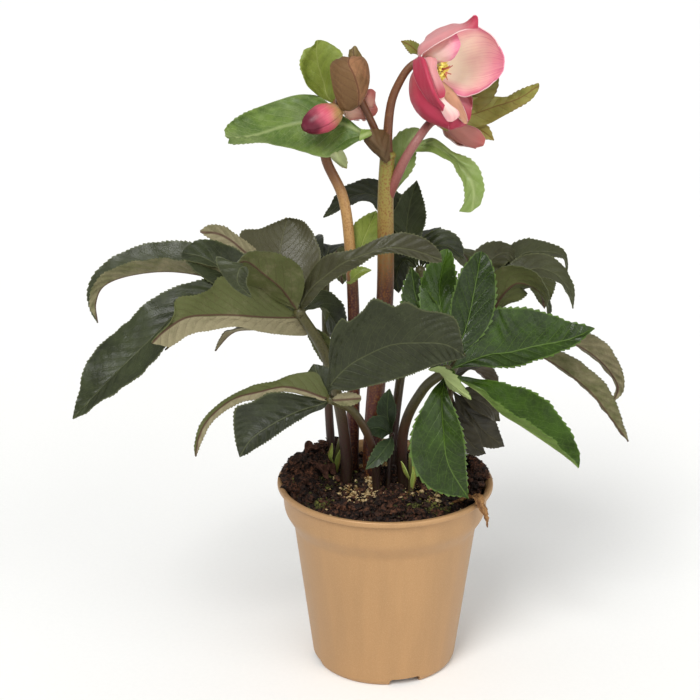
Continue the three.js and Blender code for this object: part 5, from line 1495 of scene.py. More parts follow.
def build_young_growth():
    """Pointed shoots that break the soil, each wrapped in two scales, and withered leaves."""
    limes = linear("6f8a34"), linear("a9b85a"), linear("cdd58c"), linear("b9b070")
    green = leaf_upper("lime_bud_scale", *limes, 0.4, 0.45, 0.15)
    limes = linear("8a9a48"), linear("b8b878"), linear("7a6a34")
    under = leaf_under("lime_bud_scale_under_side", *limes, 0.3)
    limes = linear("8a6a44"), linear("a3ad56"), linear("6a7030")
    skin = stalk_skin("sheathed_bud_skin", *limes, (0.112, 0.128), 0.3)
    for name, line, radii in SHEATHED_BUDS:
        _, knee, tip = np.array(line, float)
        scale = dict(to=[knee + (-4, -2, 6), tip + (-5, -2, -4)], **SCALE_SHAPE)
        outer = dict(to=[knee + (2.6, -2, 4), tip + (1.5, -1.5, -6)], **OUTER_SCALE_SHAPE)
        parts = [tube(line, radii, skin=2, sides=14, step=1.2)]
        parts += [blade_part(knee, scale, seed=5), blade_part(knee - (0, 0, 9), outer, seed=6)]
        add_piece(name + "_grown", parts, [green, under, skin], "lime_bract", [name])
    scrap = blade_part(SCRAP_ROOT, DRY_SCRAP, seed=9)
    shifts = [Vector((k * 9, 0, 0)) for k in range(3)]
    near = [Vector(point) / CRUMPLE_SPACING for point in scrap["points"]]
    crumple = np.array([[noise.noise(place + shift) for shift in shifts] for place in near])
    scrap["points"] = scrap["points"] + crumple * CRUMPLE
    withered = withered_leaf("withered_leaf", linear("6e4a2c"), linear("a97f52"))
    rotting = withered_leaf("rotting_leaf_litter", linear("33201a"), linear("624236"))
    add_piece("dry_leaf_withered", [scrap], [withered], "dry_leaf", ["dry_leaf_scrap"])
    litter = []
    for k, (start, end, wide) in enumerate(LITTER):
        lift = lambda share, extra: [*(a + (b - a) * share for a, b in zip(start, end)), extra]
        way = lift(0, 1.5), lift(0.5, 4), lift(1, 1.5)
        on_soil = [[x, y, ground(x, y) + up] for x, y, up in way]
        flake = dict(to=on_soil[1:], wide=wide, phase=k, **FLAKE_SHAPE)
        litter.append(blade_part(on_soil[0], flake, seed=80 + k, thickness=0.4))
    add_piece("leaf_litter", litter, [rotting], "dry_leaf")


# ---------------------------------------------------------------- bracts
BRACT_LEFT_LARGE = dict(
    name="bract_left_large", slot="green_bract", root=[-3, -3, 311],
    blades=[
        dict(lines=[  # the sheath at its foot
            [[-3, -5, 312], [-9, -8, 318], [-13, -9, 323], [-15, -8, 328.5]],
            [[-2, -7, 312], [-5, -12, 319], [-8, -13, 325], [-10, -10, 330.5]],
            [[-1, -7, 312], [-2, -10, 319], [-3, -9, 324], [-4.5, -6, 330]],
            [[1, -4, 312], [1, -6, 318], [0.6, -5, 324], [-0.5, -2, 328]],
        ], tint=(0.5, 1.3, 0.0), plain=1.0),
        dict(start=[-11, -11, 327], lines=[
            [[-16, -13, 325], [-25, -15, 320], [-32, -14, 316], [-40, -12, 316], [-47, -11, 318],
             [-57, -12, 321], [-70, -14, 324], [-82, -18, 324], [-88, -21, 325]],
            [[-16, -11, 327], [-24, -10, 324], [-33, -7, 322], [-46, -4, 324], [-60, -5, 325],
             [-77, -10, 326], [-88, -17, 327]],
            [[-16, -9, 329], [-22, -7, 332], [-29, -3, 333], [-39, 1, 332], [-49, 2, 332],
             [-60, 0, 330], [-72, -5, 327], [-84, -12, 326], [-90, -15, 328]],
            [[-20, -6, 333], [-27, -2, 335], [-38, 5, 338], [-49, 9, 340], [-64, 9, 336],
             [-77, 4, 333], [-87, -4, 331], [-90, -11, 328]],
            [[-21, -4, 334], [-26, 0, 337], [-32, 8, 341], [-39, 14, 345], [-46, 15, 346],
             [-55, 14, 345], [-69, 10, 341], [-81, 3, 337], [-88, -3, 333], [-91, -9, 330]],
        ], tint=(0.45, 0, 0.1), buckle=0.3, plain=1.0, pleat=0.5),
        dict(start=[-7, -7, 330], lines=[  # the folded wedge between them
            [[-10, -12, 327.5], [-16, -14, 325]],
            [[-11, -13, 329], [-16, -13.5, 327]],
            [[-11, -10, 330.5], [-15, -10, 330.5]],
        ], tint=(1.0, 0, 0.1), plain=1.0, pleat=0.1),
        dict(start=[-28, -13, 320], lines=[  # a withered lobe of its lower margin
            [[-25, -15, 319.5], [-23.5, -15, 315], [-23, -15, 311]],
            [[-28.5, -15, 318], [-27, -16.5, 314.5], [-24, -15.5, 310.8]],
            [[-32, -14.5, 316.5], [-29, -15, 313], [-25, -15, 311]],
        ], tint=(0.6, 0.2, 1.2), plain=1.0, pleat=0.1),
    ],
)
BRACT_UPRIGHT_LIME = dict(
    name="bract_upright_lime", slot="lime_bract", root=[-29, 15, 340],
    blades=[
        dict(lines=[
            [[-37, 14, 344], [-44.5, 9, 351], [-48, 8, 360], [-49, 11, 366], [-47, 14, 371]],
            [[-36, 15, 345], [-41.5, 14, 352], [-45, 14.5, 361], [-45, 13, 368], [-42, 13, 373.5]],
            [[-34, 15, 345], [-36, 17, 352], [-39, 16, 362], [-40, 14.5, 370], [-39.5, 13, 376.5]],
            [[-31, 15, 345], [-31, 13.5, 352], [-34, 13.5, 362], [-35, 13, 370], [-34, 14, 375.5]],
            [[-29, 13, 345], [-26.5, 9, 353], [-25, 8.5, 362], [-25, 11, 367], [-27, 14, 371]],
        ], tint=(0.6, 0.0, 0.1), plain=0.75),
    ],
)
BRACT_FOLDED_BROWN = dict(
    name="bract_folded_brown", slot="brown_bract", root=[-15, 0, 344],
    blades=[
        dict(lines=[
            [[-25, -12, 341.5], [-29, -15, 349], [-31, -16, 357], [-32, -14, 365], [-30, -9, 368],
             [-28, -3, 366]],
            [[-22, -14, 342], [-25, -19, 351], [-27, -20, 359], [-27.5, -18, 367], [-26, -11, 370],
             [-24, -4, 367.5]],
            [[-16.5, -13, 344.5], [-16.5, -19, 353], [-19, -21, 362], [-22, -19, 368],
             [-21, -11, 370.5], [-20, -4, 368]],
            [[-15, -9, 346], [-12.5, -14, 353], [-13, -16, 361], [-15, -15, 367.5],
             [-17, -10, 370.3], [-16, -4, 368]],
            [[-14, -5, 347], [-11, -8, 355], [-10.6, -8, 362], [-12, -9, 367.5], [-14, -7, 369.7],
             [-14, -3, 368]],
        ],
            skins=(1, 0), tint=(0.5, 0.1, 0.15), sides=(0.08, 0.36), plain=1.0, veining=7,
            buckle=0.12,
        ),
        dict(lines=[
            [[-19, 2, 362], [-21.5, 2, 368], [-21.5, 1, 373]],
            [[-18, 0, 362], [-20, -1, 368], [-20.5, 0, 373.5]],
            [[-17, 0, 362], [-17.5, -1, 369], [-18.5, 1, 375]],
            [[-15, 3, 362], [-14.5, 2, 368], [-16, 2, 371.5]],
        ], tint=(1.2, 0, 1.1), plain=1.0),
    ],
)
BRACT_ARCHING_RIGHT = dict(
    name="bract_arching_right", slot="green_bract", root=[4, 1, 291],
    blades=[
        dict(lines=[
            [[8, 8, 310], [13, 9, 317], [21, 10, 321], [27, 8, 322], [36, 3, 316], [42, 0, 314],
             [47, -3, 312], [51, -6, 308], [53, -8, 302], [54, -9, 296], [52, -11, 288]],
            [[8, 7, 309], [13, 8, 316], [21, 8, 319], [27, 6, 320], [34, 1, 316], [40, -3, 312],
             [45, -6, 308], [49, -8, 302], [50, -10, 295], [49, -12, 286]],
            [[8, 6, 307], [13, 7, 315], [21, 9, 318], [26, 7, 318], [32, 3, 315], [38, -1, 311],
             [42, -4, 306], [45, -8, 300], [47, -10, 294], [46, -12, 284]],
            [[8, 4, 306], [13, 5, 314], [20, 6, 315], [25, 4, 315], [31, -1, 313], [36, -5, 311],
             [39, -8, 306], [42, -10, 301], [43, -12, 296], [43, -13, 290], [40, -14, 285]],
        ], tint=(0.75, 0, 0.3), buckle=0.3, plain=0.75),
        dict(
            to=[[9, 8, 307], [11, 12, 317], [18, 13, 327]], wide=[10, 6.5], face=[[2, -8, 2]],
            point=0.6, tint=(0.7, 0, 0.3),
        ),
    ],
)
BRACT_OLIVE_RIGHT = dict(
    name="bract_olive_right", slot="olive_bract", root=[27, 13, 332],
    blades=[
        dict(lines=[
            [[32, 14, 338], [42, 16, 343], [53, 19, 344], [61, 20, 344], [68, 19, 344],
             [73, 17, 347], [79, 16, 350], [85, 14, 352.5]],
            [[33, 14, 334], [42, 15, 338], [49, 18, 339], [57, 19, 341], [66, 19, 342],
             [75, 17, 345], [82, 15, 350], [85.5, 14, 352]],
            [[33, 13, 330], [40, 13, 331], [47, 14, 330], [57, 16, 333], [64, 16, 337],
             [73, 16, 341], [81, 15, 346], [85.5, 14, 350]],
            [[32, 12, 326], [38, 12, 326], [47, 12, 327], [56, 13, 329], [64, 13, 333],
             [73, 14, 338], [81, 14, 343], [85, 14, 348]],
        ], tint=(0.7, 0.1, 0), buckle=0.3, plain=0.9),
        dict(
            to=[[42, 19, 343], [53, 20, 350], [62.5, 20, 357]], wide=12, face=[[1, -9, 3]], fold=4,
            point=0.6, plain=0.9, tint=(0.6, 0.3, 0),
        ),
        dict(
            to=[[44, 16, 328], [54, 15, 325], [61, 14, 320]], wide=6, face=[[0, -9, 3]],
            tint=(0.8, 0, 0.4),
        ),
    ],
)
BRACT_OLIVE_TIP = dict(
    name="bract_olive_tip", slot="olive_bract", root=[17, 0, 370],
    blades=[
        dict(
            to=[[15, 2, 372.5], [11, 2, 375.5], [7, 2, 377.5]], wide=3.5, face=[[1, -8, 3]],
            widest=0.3,
        ),
    ],
)
BRACT_SIDE_LOW = dict(
    name="bract_side_low", slot="lime_bract", root=[-21, 4, 238],
    blades=[
        dict(to=[[-21, -1, 241], [-16, -3, 246], [-9, -3, 248]], wide=4.5, face=[[0, -4, 7]]),
    ],
)
BRACT_SIDE_MIDDLE = dict(
    name="bract_side_middle", slot="lime_bract", root=[-19, 6, 247],
    blades=[
        dict(to=[[-15, 8, 258], [-11, 11, 268], [-6, 13, 279]], wide=9, face=[[-2, -8, 2]]),
    ],
)
BRACT_SIDE_UPPER = dict(
    name="bract_side_upper", slot="lime_bract", root=[-34, 10, 312],
    blades=[
        dict(
            to=[[-31, 8, 315], [-27, 6, 311], [-23, 3, 306]], wide=4.5, face=[[3, 7, 2]],
            tint=(0.5, 0, 0.7), plain=1.0,
        ),
    ],
)
BRACTS = [
    BRACT_LEFT_LARGE, BRACT_UPRIGHT_LIME, BRACT_FOLDED_BROWN, BRACT_ARCHING_RIGHT,
    BRACT_OLIVE_RIGHT, BRACT_OLIVE_TIP, BRACT_SIDE_LOW, BRACT_SIDE_MIDDLE, BRACT_SIDE_UPPER,
]


def bract_skins():
    """Upper and under material of each colour of bract."""
    green = linear("3d581a"), linear("6e8636"), linear("98a46c"), linear("848a62")
    lime = linear("586a22"), linear("7c8a36"), linear("a3aa62"), linear("8a8a48")
    olive = linear("5c6426"), linear("8a8840"), linear("6e3a20"), linear("84602f")
    brown = linear("5e4428"), linear("82603c"), linear("4a2c1c"), linear("6e6034")
    under_green = linear("7c8c4c"), linear("b5b488"), linear("8c8a58")
    under_lime = linear("8a9850"), linear("b6b482"), linear("9a8f58")
    under_olive = linear("6f6a3c"), linear("9c8f5c"), linear("7a3a24")
    under_brown = linear("6e5234"), linear("9c6f4e"), linear("5a3626")
    return {
        "green_bract": [
            leaf_upper("green_soft_bract", *green, 0.6, 0.42, 0.28, 0.3, 2.0),
            leaf_under("green_bract_under_side", *under_green, 0.4),
        ],
        "lime_bract": [
            leaf_upper("lime_soft_bract", *lime, 0.45, 0.45, 0.2),
            leaf_under("lime_bract_under_side", *under_lime, 0.4),
        ],
        "olive_bract": [
            leaf_upper("olive_soft_bract", *olive, 0.6, 0.48, 0.35),
            leaf_under("olive_bract_under_side", *under_olive, 0.5),
        ],
        "brown_bract": [
            leaf_upper("brown_soft_bract", *brown, 0.7, 0.48, 0.35),
            leaf_under("brown_bract_under_side", *under_brown, 0.7, 0.6),
        ],
    }


BRACT_TOOTH = {  # pitch and depth of the teeth
    "green_bract": (3.4, 0.7), "lime_bract": (2.6, 0.7), "olive_bract": (2.8, 0.6),
    "brown_bract": (2.4, 0.4),
}
BRACT_THICKNESS = 0.45


def build_bracts():
    skins = bract_skins()
    for number, bract in enumerate(BRACTS):
        slot = bract["slot"]
        draw = random.Random(70 + number)
        parts = []
        for k, blade in enumerate(bract["blades"]):
            tint = blade.get("tint", (0.35 + 0.3 * draw.random(), 0.0, 0.1 * draw.random()))
            start = blade.get("start", bract["root"])
            seed = 500 + 100 * number + k
            build = draped_part if "lines" in blade else blade_part
            parts.append(build(start, blade, BRACT_TOOTH[slot], BRACT_THICKNESS, tint, seed))
        add_piece(bract["name"] + "_grown", parts, skins[slot], slot, [bract["name"]])


# ---------------------------------------------------------------- blooms
RECEPTACLE_RADIUS = 3.4
NECTARY_RING = 4.2
NECTARY_COUNT = 12
STAMEN_COUNT = 110
STAMEN_LENGTH = 8.5
STAMEN_SPREAD_DEG = 44
STAMEN_RISE = 2.6  # from the receptacle to the foot of the stamens
STAMEN_GAP = 8  # places left free in the middle, for the styles
FILAMENT_RADII = (0.28, 0.16)
ANTHER_RADII = (0.42, 0.95)
ANTHER_SHIFT = 0.34  # of each anther of a pair to its side
NECTARY_RADII = (0.55, 1.15)
STYLE_RADII = (0.6, 0.25)
STIGMA_RADIUS = 0.36
STYLE_COUNT = 5
SEPAL_COUNT = 5
LAP = 0.45  # turns each sepal so that one margin lies outside its neighbour's
SEPAL_THICKNESS = 0.6
SEPAL_SHAPE = dict(
    widest=0.58, root=0.8, point=0.5, curl=26, fold=28, pleat=0.1, wave=0.6, waves=3
)
DRAPED_SEPAL = dict(pleat=0.08, buckle=0.2)
OPEN_BLOOM = dict(
    centre=[17, -2, 366], axis=[0.9, -0.36, -0.22],
    sepals=[
        dict(lines=[  # the broad one behind, inner face to the front
            [[22, 2, 371], [28, 8, 376], [35, 8, 383], [42, 4, 387], [50, 0, 385], [57, -6, 381],
             [60, -9, 376]],
            [[23, 3, 368], [34, 6, 370], [45, 5.5, 374], [54, 0, 376], [60, -6, 374],
             [62.3, -10, 372]],
            [[24, 3, 365], [35, 5.5, 363], [47, 4, 365], [57, -2, 367], [63, -10, 368]],
            [[24, 2, 362], [34, 4, 357], [45, 2.5, 356], [54, -3, 358], [60, -7, 361],
             [62.3, -11, 363]],
            [[23, 1, 360], [30, 1, 353], [40, -3, 348], [49, -7, 350], [55, -10, 354],
             [59, -11, 358]],
        ], tint=(0.47, 0, 0), buckle=0.6),
        dict(lines=[  # the hood over the top, outer face to the front
            [[18, -12, 372], [25, -17, 378], [33.5, -19, 383], [40, -20, 386], [45, -19, 386.5],
             [47.5, -18, 386.5]],
            [[17, -9, 375], [25.5, -13, 382], [34.5, -15, 386], [41.5, -17, 387.5],
             [45.5, -18, 390], [47.5, -18, 392]],
            [[17.5, -2, 375.5], [21.5, -4, 379], [28, -5, 383], [35, -9, 386.5], [40.5, -13, 387.5],
             [44, -16, 390.5], [46.5, -17, 393.5]],
            [[20, 4, 378], [24, 5, 381.5], [28.5, 4, 384], [34, 0, 386.5], [39, -6, 387.5],
             [42, -13, 390], [45, -17, 393.5]],
        ], tint=(0.95, 0, 0.3)),
        dict(lines=[  # the near one, outer face to the front
            [[13.5, -9, 368], [14, -16, 360], [20, -21, 350], [29, -23, 343]],
            [[16, -14, 370], [19, -24, 361], [23, -28, 352], [29.3, -27, 344]],
            [[18, -18, 370.5], [22, -27, 360], [25, -30, 353], [29.4, -28, 346]],
            [[19, -17, 370], [23, -23, 360], [26, -26, 352], [30, -26, 346.5]],
        ], tint=(1.5, 0, -0.1)),
        dict(lines=[  # the lower left one, cupped round the foot of the bloom
            [[18, 12, 356], [20, 13, 345], [23, 10, 337], [29, 1, 331.5], [35, -10, 331.5]],
            [[13, 3, 356], [13, 0, 345], [20, -5, 335.5], [34, -12, 330.8]],
            [[13, -8, 357], [15.5, -14, 346], [23.5, -18, 338], [33, -17, 333.5]],
            [[19, -14, 360], [23, -20, 350], [29, -21, 342.5], [33, -19, 337.5]],
        ], tint=(1.3, 0.25, 0.0)),
        dict(lines=[  # the lower right one
            [[27, 2, 356], [36, 1, 348], [41, -3, 343], [43, -7, 338.5], [44, -9, 335]],
            [[28, 6, 355], [40, 8, 348], [45, 5, 343], [46, -1, 339.5], [45, -7, 335.6]],
            [[29, 8, 357], [43, 9, 351], [47.3, 6, 346], [47, 2, 341.5], [45, -4, 337]],
        ], tint=(0.95, 0, 0.15)),
        dict(lines=[  # its rolled margin under the hood
            [[21, -6, 375], [28, -9, 379.5], [33, -13, 382.5], [36.5, -14, 383.5]],
            [[22, -8, 370], [28.5, -13, 373.5], [34, -17, 377], [38.5, -16, 378.5]],
            [[23, -8, 368.5], [29, -13, 370.5], [34, -17, 373], [37.8, -17, 375.5]],
            [[24, -8, 367], [29, -11, 367.8], [33, -15, 369], [35.5, -16, 371]],
        ], tint=(0.6, 0, 0.4), buckle=0.15),
        dict(lines=[  # the turned-in margin beside the near one
            [[19.5, -12, 370], [21.5, -18, 364], [23.5, -21, 358], [26.5, -23, 350.5]],
            [[21.5, -12, 370], [22.5, -18.5, 364], [24.8, -21.5, 358], [27.5, -23, 350]],
            [[23.5, -12, 370], [24, -18, 364], [26.8, -20.5, 358], [28.8, -22, 350]],
            [[25.5, -13, 370], [26, -16, 364], [28.8, -18, 357.5], [30.5, -19.5, 353.5],
             [30, -21, 350.5]],
        ], tint=(0.6, 0, 0.3), buckle=0.15),
        dict(lines=[  # three folds in the mouth of the bloom below it
            [[25, -16, 354], [26.5, -21, 350.5], [27.5, -22, 345], [29.5, -21.5, 340.5],
             [32, -21, 337]],
            [[27, -15, 354], [28, -20.5, 350], [30.5, -21.5, 345], [33.5, -21.5, 340.5],
             [34.5, -20.5, 337]],
            [[29, -14, 354], [30, -19.5, 349.5], [33.5, -20.5, 346], [37.5, -20, 343],
             [38.5, -20, 340], [36.5, -20, 338]],
        ], skins=(1, 0), tint=(0.15, 0, 0.5), buckle=0.2),
        # the fold below the mouth, whose tan skin paints the brownish shade on it
        dict(lines=[
            [[28, -4, 351], [29.5, -7, 349], [31, -12, 346.5], [34, -15, 343], [37.5, -17, 339],
             [41.5, -17, 335]],
            [[32, -2, 351], [34, -5, 349], [36.5, -10, 346], [38.5, -14, 342], [40.5, -16, 338.5],
             [42.5, -17, 335]],
            [[36, 0, 351], [38, -3, 348.5], [40, -8, 345.5], [41.5, -12, 342], [43, -15, 338.5],
             [43, -16, 335]],
        ], skins=(2, 2), tint=(0.8, 0, 0), buckle=0.2),
        dict(lines=[
            [[24, -4, 350], [31, -15, 340], [37, -16, 338.5], [42, -13, 337]],
            [[23, 0, 345], [31, -13, 332.5], [38, -14, 332.5], [43, -10, 333.5]],
            [[26, 6, 345], [34, -4, 332.5], [41, -3, 332], [45, -4, 335]],
        ], skins=(1, 0), tint=(0.6, 0.6, 0), buckle=0.2),
    ],
)
LOW_BLOOM = dict(
    centre=[31, 23, 329], axis=[0.85, 0.1, -0.45], length=25, spread=6.5, wide=9, roll=0.4,
    loose=[
        [
            [[30, 17, 327], [36, 12, 324], [41.5, 8, 319.5], [49, 5, 317.5], [53.5, 5, 318.5]],
            [[30, 15, 329], [39, 10, 327], [46, 6, 323], [54.5, 4, 319.5]],
            [[31, 17, 332], [41, 14, 330], [51, 11, 327], [55.5, 7, 322]],
        ],
    ],
)
HIDDEN_BLOOM = dict(
    centre=[-17, 13, 341], axis=[0.1, 0.95, -0.25], length=15, spread=9, wide=8, roll=0.6,
    loose_tint=(0.5, 0, 0.1),
    loose=[
        [
            [[-17, 8, 338], [-14, 4, 346], [-12, 3, 350.5]],
            [[-13, 5, 339], [-11, 0, 347], [-9, 2, 351]],
            [[-9, 6, 339], [-7.5, 3, 344], [-7, 4, 349]],
        ],
        [
            [[-23, 4, 342], [-18, 4, 343.5], [-12, 5, 343.5], [-7, 6, 342]],
            [[-25, 3, 338], [-18, 2, 339], [-11, 3, 339], [-5.6, 5, 339]],
            [[-23, 3, 333.5], [-17, 3, 334], [-11, 4, 334], [-7, 5, 336]],
        ],
    ],
)


def across(axis):
    """Two directions square to an axis, and the axis."""
    forward = unit(np.array(axis, float))
    start = np.array([0, 0, 1.0]) if abs(forward[2]) < 0.9 else np.array([1.0, 0, 0])
    first = unit(np.cross(start, forward))
    return first, np.cross(forward, first), forward


def ring_of(centre, axis, count, roll=0.0):
    """For each of a ring of like pieces, its way outward and sideways and the way ahead."""
    first, second, forward = across(axis)
    for k in range(count):
        turn = roll + 2 * math.pi * k / count
        outward = first * math.cos(turn) + second * math.sin(turn)
        yield k, outward, np.cross(forward, outward), forward


def half_open(bloom):
    """A cup of sepals round a receptacle, and the loose ones that are draped over it."""
    parts = [ball(bloom["centre"], (RECEPTACLE_RADIUS, RECEPTACLE_RADIUS), skin=1)]
    centre = np.array(bloom["centre"], float)
    for k, outward, sideways, forward in ring_of(centre, bloom["axis"], SEPAL_COUNT, bloom["roll"]):
        reach, spread = forward * bloom["length"], outward * bloom["spread"]
        way = [centre + reach * a + spread * b for a, b in ((0.25, 0.85), (0.65, 1), (1, 0.75))]
        face = [list(-(outward + sideways * LAP))]
        sepal = dict(to=way, wide=bloom["wide"], face=face, **SEPAL_SHAPE)
        root = from_hub(centre, way[0], RECEPTACLE_RADIUS * 0.6)
        tint = (0.45 + 0.1 * (k % 2), 0.4, 0)
        parts.append(blade_part(root, sepal, None, SEPAL_THICKNESS, tint, 30 + k))
    for k, lines in enumerate(bloom["loose"]):
        sepal = dict(lines=lines, **DRAPED_SEPAL)
        tint = bloom.get("loose_tint", (0.6, 0.25, 0.1))
        parts.append(draped_part(centre, sepal, None, SEPAL_THICKNESS, tint, 36 + k))
    return parts


def on_dome(bloom, count, start, spread_deg, skipped):
    """Base and direction of bodies set on a spiral over a dome round the bloom's axis."""
    first, second, forward = across(bloom["axis"])
    golden = math.pi * (3 - math.sqrt(5))
    for k in range(count):
        i = k + skipped
        tilt = math.radians(spread_deg) * math.sqrt((i + 0.5) / (count + skipped))
        aside = first * math.cos(golden * i) + second * math.sin(golden * i)
        base = np.array(bloom["centre"], float) + forward * start
        yield base, forward * math.cos(tilt) + aside * math.sin(tilt)


def build_stamens():
    """Slender filaments on a dome, each with a pair of anthers at its end."""
    draw = random.Random(7)
    forward = across(OPEN_BLOOM["axis"])[2]
    heart = np.array(OPEN_BLOOM["centre"], float) + forward * (RECEPTACLE_RADIUS + 1.9)
    parts = [ball(heart, (2.8, 2.4), axis=forward, skin=1)]
    start = RECEPTACLE_RADIUS + STAMEN_RISE
    dome = on_dome(OPEN_BLOOM, STAMEN_COUNT, start, STAMEN_SPREAD_DEG, STAMEN_GAP)
    for base, way in dome:
        length = STAMEN_LENGTH * (0.85 + 0.4 * draw.random())
        sag = np.array([draw.gauss(0, 0.5), draw.gauss(0, 0.5), draw.gauss(-0.3, 0.4)])
        end = base + way * length + sag
        middle = base + way * length * 0.55 + sag * 0.2
        parts.append(tube([base, middle, end], FILAMENT_RADII, 6, 2.5, skin=1))
        side = unit(np.cross(way, [draw.gauss(0, 1) for _ in range(3)]))
        tint = (0.25 + 0.6 * draw.random(), 0, 0)
        for shift in (-ANTHER_SHIFT, ANTHER_SHIFT):
            middle = end + side * shift
            parts.append(ball(middle, ANTHER_RADII, way + side * 0.2, tint, rings=6, sides=8))
    anther = flower_part("pollen_anther", linear("f0d846"), linear("fff490"), 0.6, 0.8)
    filament = flower_part("pale_filament", linear("e9dfa4"), linear("f4efcf"), 1.0, 0.5)
    skins = [anther, filament]
    add_piece("bloom_open_stamens_grown", parts, skins, "anther", ["bloom_open_stamens"])


def build_nectaries():
    """A ring of short waxy trumpets round the stamens."""
    centre = np.array(OPEN_BLOOM["centre"], float) + across(OPEN_BLOOM["axis"])[2] * 4.4
    parts = [ball(centre, (4.4, 1.2), axis=OPEN_BLOOM["axis"])]
    for _, outward, _, forward in ring_of(centre, OPEN_BLOOM["axis"], NECTARY_COUNT):
        base = centre + outward * NECTARY_RING * 0.8
        tip = base + outward * 2.0 + forward * 4.4
        line = [base, base + outward * 1.0 + forward * 1.6, tip]
        parts.append(tube(line, NECTARY_RADII, sides=12, step=0.8))
        axis = outward * 0.4 + forward
        radii = (NECTARY_RADII[1], 0.5)
        parts.append(ball(tip, radii, axis, (0.8, 0, 0), rings=6, sides=12))
    skin = flower_part("waxy_nectary", linear("9fa64c"), linear("d2cf7c"), 1.2, 0.4)
    add_piece("bloom_open_nectaries_grown", parts, [skin], "nectary", ["bloom_open_nectaries"])


def build_styles():
    """A small ovary and the slender styles that spread from it."""
    centre = np.array(OPEN_BLOOM["centre"], float)
    forward = across(OPEN_BLOOM["axis"])[2]
    base = centre + forward * (RECEPTACLE_RADIUS + 7.6)
    parts = [ball(base, (1.8, 2.4), axis=forward, tint=(0.2, 0, 0))]
    for k, outward, sideways, ahead in ring_of(base, OPEN_BLOOM["axis"], STYLE_COUNT, 0.5):
        at = lambda along, out, aside=0: base + ahead * along + outward * out + sideways * aside
        line = [at(-1, 0.5), at(3, 1.0), at(5.4, 2.2, 0.4), at(7, 4.0, 1.4)]
        parts.append(tube(line, STYLE_RADII, sides=10, step=0.9))
        stigma = (STIGMA_RADIUS, STIGMA_RADIUS)
        parts.append(ball(line[-1], stigma, rings=6, sides=8, tint=(0.9, 0, 0)))
    skin = flower_part("red_style", linear("b8483c"), linear("dc8a70"), 1.4, 0.5)
    add_piece("bloom_open_styles_grown", parts, [skin], "style", ["bloom_open_styles"])


def build_open_bloom(bloom):
    pinks = linear("ffe8cb"), tuple(bloom.inner_pink), linear("c8507c")
    inner = sepal_skin("pink_sepal_inner_face", *pinks, 0.75)
    crimsons = linear("c86a72"), tuple(bloom.outer_crimson), linear("92203e")
    outer = sepal_skin("pink_sepal_outer_face", *crimsons, 0.35, linear("7c6a44"), 0.35)
    # tan colours that paint the brownish shade on the fold below the mouth
    tans = linear("e2b48e"), linear("b5866a"), linear("95584c")
    skins = [inner, outer, sepal_skin("sepal_fold_painted_shade", *tans, 0.45)]
    centre = OPEN_BLOOM["centre"]
    parts = [ball(centre, (RECEPTACLE_RADIUS, RECEPTACLE_RADIUS), skin=1, tint=(0.4, 1, 0))]
    for k, one in enumerate(OPEN_BLOOM["sepals"]):
        sepal = {"pleat": DRAPED_SEPAL["pleat"], **one}
        parts.append(draped_part(centre, sepal, None, SEPAL_THICKNESS, one["tint"], 20 + k))
    add_piece("bloom_open_sepals_grown", parts, skins, "pink_sepal", ["bloom_open_sepals"])
    build_nectaries()
    build_stamens()
    build_styles()


def build_half_open_blooms(salmon):
    deeper = tuple(c * 0.8 for c in salmon)
    skins = [
        sepal_skin("salmon_sepal_inner_face", linear("e8b8a0"), salmon, linear("b45a5c"), 0.4),
        sepal_skin("salmon_sepal_outer_face", linear("c08070"), deeper, linear("9c4048"), 0.4),
    ]
    for name, bloom in (("bloom_low_right", LOW_BLOOM), ("bloom_hidden_left", HIDDEN_BLOOM)):
        add_piece(name + "_grown", half_open(bloom), skins, "salmon_sepal", [name])


# ---------------------------------------------------------------- closed bud
BUD = dict(base=[-26, -8, 341], tip=[-47, -19, 333], radius=7.6)
BUD_SWELL = [  # share of the length and of the radius
    [0, 0.2], [0.04, 0.42], [0.12, 0.7], [0.32, 0.97], [0.5, 1], [0.7, 0.88], [0.87, 0.66],
    [0.96, 0.4], [1, 0.1],
]
BUD_ROWS, BUD_COLUMNS = 72, 132
BUD_LAPS = 3
LAP_RISE = 0.085  # how proud a leading margin stands, as a share of the radius
LAP_LEAN = 0.25  # turns of a lap by which the margins wind from foot to tip


def build_bud():
    """An egg of sepals wrapped over each other: each one's leading margin stands proud."""
    base, tip = np.array(BUD["base"], float), np.array(BUD["tip"], float)
    first, second, ahead = across(tip - base)
    turns = np.arange(BUD_COLUMNS) * 2 * np.pi / BUD_COLUMNS
    share, turn = np.meshgrid(np.linspace(0, 1, BUD_ROWS), turns, indexing="ij")
    swell = np.interp(share, *np.array(BUD_SWELL).T)
    smooth = np.array([swell[max(0, i - 3) : i + 4].mean(0) for i in range(BUD_ROWS)])
    count = (turn * BUD_LAPS / (2 * np.pi) + 0.1 + LAP_LEAN * (share - 0.5)) % 1
    proud = np.clip(count / 0.035, 0, 1) * (1 - count)
    reach = BUD["radius"] * smooth * (1 + LAP_RISE * proud)
    points = base + ahead * (np.linalg.norm(tip - base) * share)[..., None]
    points = points + (reach * np.cos(turn))[..., None] * first
    points = points + (reach * np.sin(turn))[..., None] * second
    points = np.vstack([points.reshape(-1, 3), [base], [tip]])
    maps = np.stack([np.append(count.ravel(), [0.5, 0.5]), np.append(share.ravel(), [0, 1])], 1)
    body = part(points, tube_faces(BUD_ROWS, BUD_COLUMNS), share=maps)
    skin = bud_skin("wrapped_bud_sepals")
    add_piece("bud_closed_grown", [body], [skin], "pink_sepal", ["bud_closed"], sharp_deg=60)


